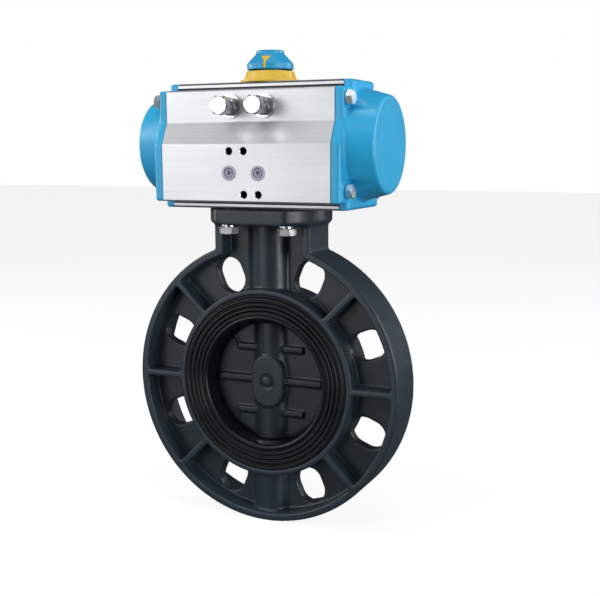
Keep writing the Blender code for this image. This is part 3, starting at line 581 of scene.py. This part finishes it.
def settle_on_field(mesh, field, origin, step):
    """Moves each vertex onto the zero level, and takes the shading normals from the field's slope."""
    slopes = np.gradient(field)
    places = np.empty(len(mesh.vertices) * 3)
    mesh.vertices.foreach_get("co", places)
    cells = (places.reshape(-1, 3) / MM - origin) / step
    for _ in range(2):
        slope = np.stack([read_grid(part, cells) for part in slopes], 1)
        steep = np.maximum((slope ** 2).sum(1, keepdims=True), (0.3 * step) ** 2)
        cells -= np.clip(read_grid(field, cells)[:, None] * slope / steep, -0.3, 0.3)
    mesh.vertices.foreach_set("co", ((cells * step + origin) * MM).ravel())
    mesh.update()
    slope = np.stack([read_grid(part, cells) for part in slopes], 1)
    mesh.normals_split_custom_set_from_vertices(slope / np.linalg.norm(slope, axis=1, keepdims=True))


# ---------------------------------------------------------------- valve body

def body_field(x, y, z):
    """Rim, hub and web with ribs and slots, the neck with its flange, and the bores for the stem."""
    radius = np.hypot(x, z)
    sideways, along = np.abs(x), np.abs(y)
    neck_top = FLANGE_TOP - 6
    neck = np.maximum(sideways - NECK_HALF, np.maximum(z - neck_top, -z))
    neck_inner = np.maximum(sideways - NECK_INNER, np.maximum(z - neck_top + 4, -z))
    outer = fused(radius - RIM_RADIUS, neck, 1.5)
    inner = fused(radius - RIM_INNER, neck_inner, 2.0)
    upright = np.maximum(outer, -inner)
    upright = fused(upright, radius - HUB_RADIUS, 2.0)
    for degrees in (45, 90, 135, 225, 270, 315):
        turn = math.radians(degrees)
        across = x * math.cos(turn) - z * math.sin(turn)
        outwards = x * math.sin(turn) + z * math.cos(turn)
        rib = np.maximum(np.abs(across) - RIB_HALF, np.abs(outwards - 91) - 18)
        upright = fused(upright, rib, 1.8)
    shape = common(upright, along - BODY_HALF, 0.9)
    shape = fused(shape, common(outer + 3, along - WEB_HALF, 0.5), 1.3)
    stem = np.hypot(x, y)
    shape = fused(shape, np.maximum(stem - COLUMN_RADIUS, np.abs(z - 102) - 30), 2.2)
    shape = fused(shape, np.maximum(stem - BOSS_RADIUS, np.abs(z + 89.5) - 19), 2.2)
    flange = common(stem - FLANGE_RADIUS, np.abs(z - 132) - 6, 0.5)
    flange = common(flange, (stem - FLANGE_RADIUS + FLANGE_UNDER + 2 - z) * SLANT, 0.5)
    flange = common(flange, along - FLANGE_FLAT, 1.2)
    shape = fused(shape, flange, 2.6)
    slots = None
    for number in range(8):
        turn = math.radians(22.5 + 45 * number)
        outwards = x * math.sin(turn) + z * math.cos(turn)
        across = x * math.cos(turn) - z * math.sin(turn)
        beyond = np.maximum(np.abs(outwards - SLOT_CIRCLE) - SLOT_REACH, 0)
        slot = np.hypot(across, beyond) - SLOT_RADIUS
        slots = slot if slots is None else np.minimum(slots, slot)
    shape = without(shape, slots, 0.8)
    seat = np.minimum(np.maximum(radius - SEAT_RADIUS, SEAT_FLOOR - along), radius - SEAT_BACK)
    shape = without(shape, seat, 0.5)
    bores = np.minimum(np.maximum(stem - STEM_BORE, -100 - z), np.maximum(stem - BUSH_BORE, 100 - z))
    bores = np.minimum(bores, np.maximum(stem - BUSH_BORE, np.abs(z + 75) - 25))
    for side_x in (-F07_HALF, F07_HALF):
        for side_y in (-F07_HALF, F07_HALF):
            bores = np.minimum(bores, np.maximum(np.hypot(x - side_x, y - side_y) - 4.3, 115 - z))
    return without(shape, bores, 0.3)


def build_body():
    grid = sample_grid((-113, -39, -113), (113, 39, 139), 0.9)
    body = skinned("body_moulding", body_field(*grid), grid, 0.5)
    stand_for(body, "body_moulding", "valve_body", smooth=None)


# ---------------------------------------------------------------- liner and disc

def liner_face(sign):
    """One lip face from the outer edge inwards: flat-topped sealing ridges, then a smooth band."""
    groove, crest = BODY_HALF - 0.7, BODY_HALF + 0.75
    points = [(LINER_LIP_RADIUS, groove)]
    for middle in RIDGES:
        for offset, rise in ((1.75, 0.0), (1.45, 0.35), (1.15, 0.85), (0.8, 1.0), (0.0, 0.86),
                             (-0.8, 1.0), (-1.15, 0.85), (-1.45, 0.35), (-1.75, 0.0)):
            points.append((middle + offset, groove + (crest - groove) * rise))
    points += [(54.3, groove), (53.8, BODY_HALF), (52.8, BODY_HALF + 0.45), (51.6, BODY_HALF + 0.2),
               (50.6, BODY_HALF - 0.7), (BORE_RADIUS, BODY_HALF - 2.2)]
    return [(radius, sign * y) for radius, y in points]


def build_liner():
    lip = BODY_HALF - 4.5
    back = [(LINER_BACK, -lip), (LINER_BACK, lip)]
    profile = liner_face(1) + list(reversed(liner_face(-1)))
    profile += [(LINER_LIP_RADIUS, -lip)] + back + [(LINER_LIP_RADIUS, lip)]
    liner = lathe("liner", profile, "Y", sides=192)
    flats = []
    for side in (-1, 1):
        corners = [(0, BORE_RADIUS + 4), (STEM_FLAT_RADIUS + 1.5, BORE_RADIUS + 4),
                   (STEM_FLAT_RADIUS + 1.0, BORE_RADIUS), (STEM_FLAT_RADIUS - 0.6, STEM_FLAT_Z),
                   (0, STEM_FLAT_Z)]
        profile = rounded([(r, side * z) for r, z in corners], [0, 0, 0, 1.3, 0], 5)
        flats.append(lathe("flat", profile, sides=96))
    liner = join(liner, *flats)
    liner = cut(liner, rod(STEM_BORE, -80, 80))
    stand_for(liner, "liner_moulding", "seat_liner", smooth=40)


def disc_field(x, y, z):
    """Thin disc with a hub along the stem, ribs on both faces, gussets and a pad for the button."""
    radius, along = np.hypot(x, z), np.abs(y)
    shape = common(radius - (BORE_RADIUS - GAP), along - 3.6, 0.4)
    chamfer = ((radius - 49.7) * 1.4 + (along - 2.2) * 2.6) / 2.953
    shape = common(shape, chamfer, 0.5)
    hub = (np.hypot(x, y / 0.78) - 13.5) * 0.85
    shape = fused(shape, hub, 2.5)
    draft = 0.06 * (along - 3.6)
    spoke = common(np.abs(z) - 2.7 + draft, common(np.abs(x) - 45, along - 6.6, 1.0), 0.8)
    shape = fused(shape, spoke, 1.5)
    short = common(np.abs(np.abs(z) - 26) - 2.4 + draft, common(np.abs(x) - 29, along - 6.0, 1.0), 0.8)
    shape = fused(shape, short, 1.5)
    slanted = np.abs((x + 0.75 * (np.abs(z) - 26) + 26) * 0.8) - 1.1
    gusset = np.maximum(slanted, np.abs(np.abs(z) - 30) - 4.5)
    shape = fused(shape, common(gusset, along - 5.0, 0.6), 1.2)
    pad = np.hypot(x, np.maximum(np.abs(z) - 7.5, 0)) - 13.6 + 0.03 * (along - 6)
    shape = fused(shape, common(pad, along - 11.6, 1.1), 1.5)
    groove = np.maximum(np.abs(np.hypot(x, z) - 5.6) - 0.5, 10.9 + y)
    shape = without(shape, groove, 0.2)
    recess = np.maximum(np.hypot(x, z) - 4.6, y + 10.4)
    shape = without(shape, recess, 0.3)
    shape = without(shape, np.hypot(x, y) - STEM_BORE, 0.2)
    return common(shape, np.abs(z) - STEM_FLAT_Z + GAP, 0.4)


def build_disc():
    grid = sample_grid((-50, -12, -48), (50, 12, 48), 0.62)
    disc = skinned("disc", disc_field(*grid), grid, 0.6)
    stand_for(disc, "disc_moulding", "disc", smooth=None)
    button = turned_round("button", [(0, 13.0), (2.6, 13.0), (4.2, 12.1), (4.2, 10.7), (0, 10.7)], 0.5)
    button.data.transform(Matrix.Rotation(math.radians(90), 4, "X"))
    stand_for(button, "disc_button_domed", "disc_button")


# ---------------------------------------------------------------- actuator housing

def housing_outline():
    """The extrusion's (y, z) outline, from the rear bottom rail round by the front."""
    corners = [                 # y, z, corner radius
        (31.5, 138.3, 1.2), (-31.5, 138.3, 1.2), (-31.5, 143.8, 0.3), (-46.2, 143.8, 0.6),
        (-47.2, 144.8, 0.6), (-47.2, 186.6, 3.0), (-39.2, 203.2, 2.4), (-39.2, 227.2, 1.8),
        (-22.0, 227.2, 0.3), (-22.0, 233.3, 1.5), (22.0, 233.3, 1.5), (22.0, 227.2, 0.3),
        (38.2, 227.2, 1.4), (40.0, 225.4, 1.4), (40.0, 146.6, 1.8), (37.5, 143.8, 1.8),
        (31.5, 143.8, 0.3),
    ]
    return rounded([corner[:2] for corner in corners], [corner[2] for corner in corners], 5)


def in_shade(place):
    """Whether a point of the housing's surface lies inside a tapped hole or a rail groove, where shade is
    painted on with a dark metal.
    """
    x, y, z = place
    if any(math.hypot(x - a, z - b) < TAP_RADIUS + 0.1 for a, b in TAPPED):
        return y > PORT_FACE + 0.4
    return any(low - 0.05 < z < high + 0.05 and start < y < end + 0.05 and y > outside + 0.25
               for low, high, start, end, outside in RAIL_GROOVES)


def build_housing():
    shell = plate("housing", housing_outline(), -HOUSING_HALF, HOUSING_HALF, "X")
    reach = HOUSING_HALF + 5
    tools = [rod(34.0, -reach, reach, "X", (0, 0, AXIS_Z), 96)]
    tools += [rod(20.5, 208.5, 220.0), rod(13.3, 200, 240), rod(17.3, 130, 160)]
    for x in (-STOP_X, STOP_X):
        tools.append(rod(4.3, -60, -5, "Y", (x, 0, STOP_Z)))
    for x in (-PORT_X, PORT_X):
        tools.append(rod(5.2, -60, PORT_FACE + 9, "Y", (x, 0, PORT_Z)))
        tools.append(rod(2.2, -60, -30, "Y", (x, 0, PORT_Z), 32))
    wide = TAP_RADIUS + 0.5
    tap = [(0, -60), (wide, -60), (wide, PORT_FACE - 0.1), (TAP_RADIUS, PORT_FACE + 0.5),
           (TAP_RADIUS, PORT_FACE + TAP_DEPTH), (0, PORT_FACE + TAP_DEPTH + 1)]
    for x, z in TAPPED:
        tools.append(turned_round("tap", tap, 0.05, "Y", (x, 0, z), 40))
    for low, high, start, end, _ in RAIL_GROOVES:
        section = [(start, low), (end, low), (end, high), (start, high)]
        tools.append(plate("groove", section, -reach, reach, "X"))
    for x in (-F07_HALF, F07_HALF):
        for y in (-F07_HALF, F07_HALF):
            tools.append(rod(3.4, 130, 148, at=(x, y, 0), sides=32))
    shell = cut(shell, *tools)
    shell = eased(shell, 0.35, 2, 40)
    stand_for(shell, "housing_extrusion", "actuator_housing", smooth=30)
    # Painted shade: faces inside the tapped holes and the rail grooves get the dark metal in place of the
    # shade that falls there.
    shell.data.materials.append(MATERIALS["hollows_painted_shade"])
    for face in shell.data.polygons:
        face.material_index = 1 if in_shade(face.center / MM) else 0


# ---------------------------------------------------------------- end caps

def cap_field(x, y, z):
    """The right-hand cap: bolted plate, round dome and scoops for the bolt heads."""
    outline = outline_distance(housing_outline(), y, z)
    middle, half = (CAP_START + CAP_FLANGE_END) / 2, (CAP_FLANGE_END - CAP_START) / 2
    flange = common(outline, CAP_START - x, 0.3)
    flange = common(flange, x - CAP_FLANGE_END, 0.6)
    flange = common(flange, (outline + x - CAP_FLANGE_END + 1.8) * SLANT, 0.5)
    flange = np.maximum(flange, np.abs(x - middle) - half)
    centre = np.hypot(y, z - AXIS_Z)
    taper = 41.7 - (x - CAP_FLANGE_END) * 0.262
    dome = np.maximum((centre - np.minimum(taper, 42.25)) * 0.967, CAP_START + 2 - x)
    dome = common(dome, x - CAP_END, 1.9)
    shape = fused(flange, dome, 1.6)
    scoops = np.hypot(np.abs(y) - CAP_BOLT_Y, np.abs(z - AXIS_Z) - CAP_BOLT_Z) - 8.4
    shape = without(shape, np.maximum(scoops, CAP_FLANGE_END - 0.6 - x), 1.1)
    hollow = np.maximum(centre - 33.0 + 0.083 * (x - CAP_START), x - CAP_END + 5)
    shape = without(shape, hollow, 0.4)
    groove = np.maximum(np.abs(centre - 36.8) - 1.6, x - CAP_START - 2.2)
    shape = np.maximum(shape, -groove)
    holes = np.hypot(np.abs(y) - CAP_BOLT_Y, np.abs(z - AXIS_Z) - CAP_BOLT_Z) - 3.4
    return np.maximum(shape, -holes)


def build_caps():
    grid = sample_grid((69, -48, 137), (99, 43, 234), 0.66)
    right = skinned("cap", cap_field(*grid), grid, 0.55)
    grid = (-grid[0][::-1], *grid[1:])
    left = skinned("cap", cap_field(-grid[0], *grid[1:]), grid, 0.55)
    stand_for(right, "cap_casting_right", "end_cap_right", smooth=None)
    stand_for(left, "cap_casting_left", "end_cap_left", smooth=None)


# ---------------------------------------------------------------- fasteners

def hex_head(across, thickness, both=False, washer_face=0.0):
    """A hexagon with its corners turned off in a 30 degree cone, from z 0 up to the thickness."""
    corner = across / math.sqrt(3)
    head = plate("hex", polygon(corner, 6), washer_face, thickness)
    drop = (corner - across * 0.475) * 0.58
    lower = washer_face + drop if both else washer_face - 1
    flat = across * 0.475
    cone = [(0, thickness), (flat, thickness), (corner, thickness - drop),
            (corner + 1, thickness - drop - 0.6)]
    if both:
        cone += [(corner + 1, lower + 0.6), (corner, lower), (flat, washer_face), (0, washer_face)]
    else:
        cone += [(corner + 1, lower), (0, lower)]
    head = keep(head, lathe("cone", cone, sides=72))
    if washer_face:
        wide, top = across * 0.46, washer_face + 0.2
        head = join(head, turned_round("face", [(0, 0), (wide, 0), (wide, top), (0, top)], 0.1, sides=72))
    return head


def threaded(radius, start, end, pitch=1.25):
    """A rod with a cut thread: rings of crest and root, each tilted one pitch a turn."""
    sides, depth = 40, pitch * 0.55
    shape = ((0.0, 0.0), (0.08, 0.0), (0.45, 1.0), (0.58, 1.0), (0.92, 0.0))
    rows = []
    turns = int((end - start) / pitch) + 3
    for number in range(-2, turns):
        rows += [(start + (number + share) * pitch, radius - depth * deep) for share, deep in shape]
    verts, faces = [], []
    for height, size in rows:
        for step in range(sides):
            angle = 2 * math.pi * step / sides
            verts.append((size * math.cos(angle), size * math.sin(angle), height + pitch * step / sides))
    per_turn = len(shape)
    for row in range(len(rows) - 1):
        for step in range(sides):
            if step < sides - 1:
                faces.append([row * sides + step, row * sides + step + 1,
                              (row + 1) * sides + step + 1, (row + 1) * sides + step])
            elif row + 1 + per_turn < len(rows):
                faces.append([row * sides + step, (row + per_turn) * sides,
                              (row + 1 + per_turn) * sides, (row + 1) * sides + step])
    obj = new_object("thread", verts, faces)
    bm = bmesh.new()
    bm.from_mesh(obj.data)
    for keep_low, level in ((False, start), (True, end)):
        geometry = bm.verts[:] + bm.edges[:] + bm.faces[:]
        made = bmesh.ops.bisect_plane(
            bm, geom=geometry, plane_co=(0, 0, level * MM), plane_no=(0, 0, 1),
            clear_outer=keep_low, clear_inner=not keep_low)
        edges = [item for item in made["geom_cut"] if isinstance(item, bmesh.types.BMEdge)]
        bmesh.ops.contextual_create(bm, geom=edges)
    bmesh.ops.recalc_face_normals(bm, faces=bm.faces)
    bm.to_mesh(obj.data)
    bm.free()
    return obj


def spring_washer(inner, outer, low, high):
    """A split lock washer: a square coil of one turn, whose cut ends stand slightly apart."""
    steps, open_degrees = 64, 16
    thick = (high - low) * 0.78
    rise = high - low - thick
    section = rounded([(inner, 0), (outer, 0), (outer, thick), (inner, thick)], 0.22, 2)
    verts, faces = [], []
    for step in range(steps + 1):
        share = step / steps
        angle = math.radians(open_degrees / 2 + (360 - open_degrees) * share)
        for radius, height in section:
            verts.append((radius * math.cos(angle), radius * math.sin(angle), low + rise * share + height))
    count = len(section)
    for step in range(steps):
        for k in range(count):
            a, b = step * count + k, step * count + (k + 1) % count
            faces.append([a, b, b + count, a + count])
    faces += [list(range(count)), list(range(steps * count, (steps + 1) * count))]
    return new_object("coil", verts, faces)


def build_cap_bolts():
    seat = HOUSING_HALF + 7.4
    bolt = hex_head(10.0, 5.0, washer_face=0.5)
    bolt = join(bolt, rod(2.9, -20.2, 0.4, sides=32))
    moved(bolt, turn=20)
    moved(bolt, "X", (seat + 0.2, 0, AXIS_Z))
    for row, z in (("upper", CAP_BOLT_Z), ("lower", -CAP_BOLT_Z)):
        for face, y in (("front", -CAP_BOLT_Y), ("rear", CAP_BOLT_Y)):
            for side, flip in (("left", -1), ("right", 1)):
                place = Matrix.Diagonal((flip, 1, 1, 1)) @ Matrix.Translation((0, y * MM, z * MM))
                name = f"cap_bolt_{side}_{row}_{face}"
                stand_for(copied(bolt, "bolt", place), f"{name}_head", name, smooth=28, finish="zinc_plate")
    bpy.data.objects.remove(bolt, do_unlink=True)


def build_flange_bolts():
    under = FLANGE_UNDER
    head = hex_head(13.0, 5.2, washer_face=0.0)
    head.data.transform(Matrix.Rotation(math.pi, 4, "X"))
    moved(head, turn=12)
    moved(head, at=(0, 0, under - 2.6))
    bolt = join(head, rod(3.1, under - 3, 146, sides=32))
    coil = spring_washer(3.5, 5.8, under - 2.3, under - GAP)
    for side, x in (("left", -F07_HALF), ("right", F07_HALF)):
        for face, y in (("front", -F07_HALF), ("rear", F07_HALF)):
            place = Matrix.Translation((x * MM, y * MM, 0))
            spin = Matrix.Rotation(math.radians(SPRING_WASHER_TURN[side]), 4, "Z")
            name = f"flange_bolt_{side}_{face}"
            stand_for(copied(bolt, "bolt", place), f"{name}_head", name, smooth=28, finish="zinc_plate")
            name = f"flange_washer_{side}_{face}"
            stand_for(copied(coil, "coil", place @ spin), f"{name}_split", name, smooth=40)
    for extra in (bolt, coil):
        bpy.data.objects.remove(extra, do_unlink=True)


def build_stops():
    """The two travel stops: washer, lock nut, and a hexagon screw with its thread in sight."""
    for side, x in (("left", -STOP_X), ("right", STOP_X)):
        ring = [(4.4, 0), (9.0, 0), (9.0, 1.7), (4.4, 1.7)]
        washer = turned_round("washer", ring, 0.3, "Y", (x, FRONT_FACE - 2.0, STOP_Z), 72)
        stand_for(washer, f"stop_washer_{side}_plain", f"stop_washer_{side}")
        nut = hex_head(STOP_HEX, STOP_HEX_HEIGHT, both=True)
        nut = cut(nut, rod(4.3, -5, 10, sides=48))
        moved(nut, turn=17)
        moved(nut, "Y", (x, FRONT_FACE - 8.6, STOP_Z))
        stand_for(nut, f"stop_lock_nut_{side}_hex", f"stop_lock_nut_{side}", smooth=28)
        screw = hex_head(STOP_HEX, STOP_HEX_HEIGHT)
        screw.data.transform(Matrix.Rotation(math.pi, 4, "X"))
        moved(screw, turn=8)
        moved(screw, "Y", (x, FRONT_FACE - 13.2, STOP_Z))
        thread = threaded(STOP_THREAD, FRONT_FACE - 13.8, -9.0)
        moved(thread, "Y", (x, 0, STOP_Z))
        stand_for(screw, f"stop_screw_{side}_head", f"stop_screw_{side}", smooth=28)
        stand_for(thread, f"stop_screw_{side}_thread", f"stop_screw_{side}", smooth=28)


def build_plugs():
    for side, x in (("left", -PORT_X), ("right", PORT_X)):
        profile = [(0, -2.6), (1.5, -2.6), (1.9, 0.5), (2.7, 0.5), (3.0, -1.0), (3.8, -1.0), (4.1, 0.9),
                   (5.6, 0.7), (5.6, 0.15), (4.9, 0.1), (4.9, -8.0), (3.2, -8.0), (3.2, -3.6), (0, -3.6)]
        plug = turned_round("plug", profile, 0.25, sides=72)
        plug.data.transform(Matrix.Rotation(math.radians(90), 4, "X"))
        plug.data.transform(Matrix.Translation(Vector((x, PORT_FACE, PORT_Z)) * MM))
        stand_for(plug, f"port_plug_{side}_cap", f"port_plug_{side}")


# ---------------------------------------------------------------- position indicator

def arrow(grow, outer, inner):
    """The arrow between two offsets from the cap's cone, larger by grow to cut its recess."""
    head, foot = 252.9 + grow, 243.8 - grow
    side = [(3.5 + grow, head), (3.3 + grow, 252.2), (1.1 + grow, 249.2), (0.9 + grow, 248.2),
            (0.9 + grow, foot)]
    outline = side + [(-x, z) for x, z in reversed(side)]
    made = plate("arrow", outline, -30, -5, "Y")
    moved(made, turn=POINTER_TURN)
    profile = [(10.8 + outer, 255.2), (17.9 + outer, 247.6), (17.9 + outer, 241.0),
               (17.9 + inner, 241.0), (17.9 + inner, 247.6), (10.8 + inner, 255.2)]
    return keep(made, lathe("shell", profile, sides=160))


def build_indicator():
    base = turned_round(
        "base", [(22.9, 235.4), (22.9, 233.6), (14.4, 233.6), (14.4, 240.0), (17.4, 241.8), (18.4, 241.8),
                 (20.2, 235.6)], 0.5, sides=128)
    stand_for(base, "indicator_dial", "indicator_base")
    corners = [(0, 257.6), (10.0, 257.6), (10.8, 256.9), (10.8, 255.2), (17.9, 247.6), (17.9, 243.5),
               (17.0, 243.0), (15.2, 243.0), (15.2, 246.5), (9.5, 253.0), (9.5, 240.4), (0, 240.4)]
    rounds = [0, 0.5, 0.4, 0.5, 1.3, 0.5, 0.4, 0.3, 0.3, 0.3, 0.3, 0]
    cap = lathe("cap", rounded(corners, rounds), sides=128)
    cap = cut(cap, arrow(0.22, 2.0, -1.3), rod(5.6, 254.0, 270))
    cap = cut(cap, plate("square", [(-6.3, -6.3), (6.3, -6.3), (6.3, 6.3), (-6.3, 6.3)], 236, 240.9),
              rod(2.6, 230, 256, sides=32))
    stand_for(cap, "indicator_cap_cone", "indicator_cap", smooth=30)
    stand_for(arrow(0.0, 0.12, -1.0), "indicator_arrow", "indicator_pointer", smooth=30)
    profile = [(0, 257.0), (4.2, 257.0), (5.0, 256.4), (5.0, 254.3), (2.3, 254.3), (2.3, 234.0), (0, 234.0)]
    screw = turned_round("screw", profile, 0.35, sides=64)
    screw = cut(screw, plate("socket", polygon(2.31, 6), 255.8, 260))
    stand_for(screw, "indicator_screw_socket", "indicator_screw", smooth=30)


# ---------------------------------------------------------------- studio

def seen_only(obj):
    """Leaves a backdrop to the camera alone, so that it throws no light on the valve."""
    obj.visible_diffuse = False
    obj.visible_glossy = False
    obj.visible_transmission = False
    obj.visible_shadow = False


def glowing(name, colour, strength):
    """Backdrop paper that gives off its own even light."""
    paper = Shader(name, colour, 0.95, Specular_IOR_Level=0.0)
    paper.surface.inputs["Emission Color"].default_value = (1.0, 1.0, 1.0, 1.0)
    paper.surface.inputs["Emission Strength"].default_value = strength
    paper.bump(paper.noise(300), 0.00005)
    return paper.material


def build_backdrop():
    """A plain pale floor inside a wide white shell."""
    row = FLOOR_STEPS + 1
    places = [-FLOOR_HALF + 2 * FLOOR_HALF * step / FLOOR_STEPS for step in range(row)]
    verts = [(x, y, cad_low.z) for y in places for x in places]
    faces = [[k * row + j, k * row + j + 1, (k + 1) * row + j + 1, (k + 1) * row + j]
             for k in range(FLOOR_STEPS) for j in range(FLOOR_STEPS)]
    mesh = bpy.data.meshes.new("floor")
    mesh.from_pydata(verts, [], faces)
    mesh.materials.append(glowing("studio_paper", (0.22, 0.22, 0.22), FLOOR_GLOW))
    floor = bpy.data.objects.new("studio_floor", mesh)
    bpy.context.scene.collection.objects.link(floor)
    seen_only(floor)
    bm = bmesh.new()
    bmesh.ops.create_icosphere(bm, subdivisions=3, radius=SHELL_RADIUS)
    mesh = bpy.data.meshes.new("shell")
    bm.to_mesh(mesh)
    bm.free()
    mesh.materials.append(glowing("studio_white", (0.0, 0.0, 0.0), 1.0))
    shell = bpy.data.objects.new("studio_shell", mesh)
    bpy.context.scene.collection.objects.link(shell)
    seen_only(shell)


def add_light(name, position, size, watts):
    """A white soft box that looks at the middle of the valve; places and sizes are in metres."""
    light = bpy.data.lights.new(name, "AREA")
    light.shape = "RECTANGLE"
    light.size, light.size_y = size
    light.energy = watts
    obj = bpy.data.objects.new(name, light)
    obj.location = position
    towards = Vector(LIGHT_TARGET) - Vector(position)
    obj.rotation_euler = towards.to_track_quat("-Z", "Y").to_euler()
    bpy.context.scene.collection.objects.link(obj)


def build_light():
    """Soft boxes all round a dim room, and narrow strips that draw the bright edges."""
    world = bpy.data.worlds.new("studio")
    world.use_nodes = True
    background = world.node_tree.nodes["Background"]
    background.inputs["Color"].default_value = (1.0, 1.0, 1.0, 1.0)
    background.inputs["Strength"].default_value = ROOM_LIGHT
    bpy.context.scene.world = world
    add_light("left_high", (-1.5, -0.9, 0.9), (0.8, 0.8), 7.2)
    add_light("left_side", (-1.5, 0.0, 0.3), (0.6, 0.6), 5.5)
    add_light("left_strip", (-1.3, -0.5, 0.25), (0.12, 1.1), 0.6)
    add_light("front_low", (-0.66, -1.45, 0.05), (0.9, 0.9), 2.8)
    add_light("front_left", (-1.0, -1.3, 0.55), (0.9, 0.9), 3.3)
    add_light("front_strip", (-0.1, -1.2, 1.1), (1.3, 0.15), 2.2)
    add_light("top_strip", (0.1, -0.35, 1.5), (1.3, 0.15), 6.0)
    add_light("right_high", (1.3, -0.5, 0.95), (0.7, 0.5), 1.2)
    add_light("right_side", (1.5, -0.5, 0.45), (0.6, 0.6), 3.9)
    add_light("right_low", (1.5, -0.6, 0.0), (0.6, 0.6), 7.3)
    add_light("back_right", (1.2, 0.9, 0.5), (0.5, 0.9), 8.7)


def build_camera():
    """The viewpoint: to the right of the front and a little above it, with a long lens."""
    azimuth, tilt, roll = (math.radians(a) for a in (24.496, 8.637, -0.249))
    forward_level = Vector((-math.sin(azimuth), math.cos(azimuth), 0))
    right = Vector((math.cos(azimuth), math.sin(azimuth), 0))
    up = Vector((0, 0, 1))
    forward = forward_level * math.cos(tilt) - up * math.sin(tilt)
    above = up * math.cos(tilt) + forward_level * math.sin(tilt)
    turned_right = right * math.cos(roll) + above * math.sin(roll)
    turned_up = above * math.cos(roll) - right * math.sin(roll)
    scale = RIM_RADIUS / 110.0          # the distances below are for a rim of 110 mm radius
    distance, shift_x, height = 758.573, 21.957, 179.531
    place = (-forward_level * distance + right * shift_x + up * height + Vector((0, -1.1, 0))) * scale * MM
    lens = bpy.data.cameras.new("camera")
    lens.sensor_width = 36.0
    lens.lens = 986.315 * 36 / 600
    lens.clip_start, lens.clip_end = 0.01, 50.0
    camera = bpy.data.objects.new("camera", lens)
    bpy.context.scene.collection.objects.link(camera)
    rotation = Matrix((turned_right, turned_up, -forward)).transposed().to_4x4()
    camera.matrix_world = Matrix.Translation(place) @ rotation
    bpy.context.scene.camera = camera


def main():
    for name, obj in frame["nodes"].items():
        obj.data.materials.clear()
        obj.data.materials.append(MATERIALS[SLOT_OF[name]])
    build_camera()
    build_body()
    build_liner()
    build_disc()
    build_housing()
    build_caps()
    build_cap_bolts()
    build_flange_bolts()
    build_stops()
    build_plugs()
    build_indicator()
    build_backdrop()
    build_light()
    bpy.context.scene.view_settings.view_transform = "Standard"


main()
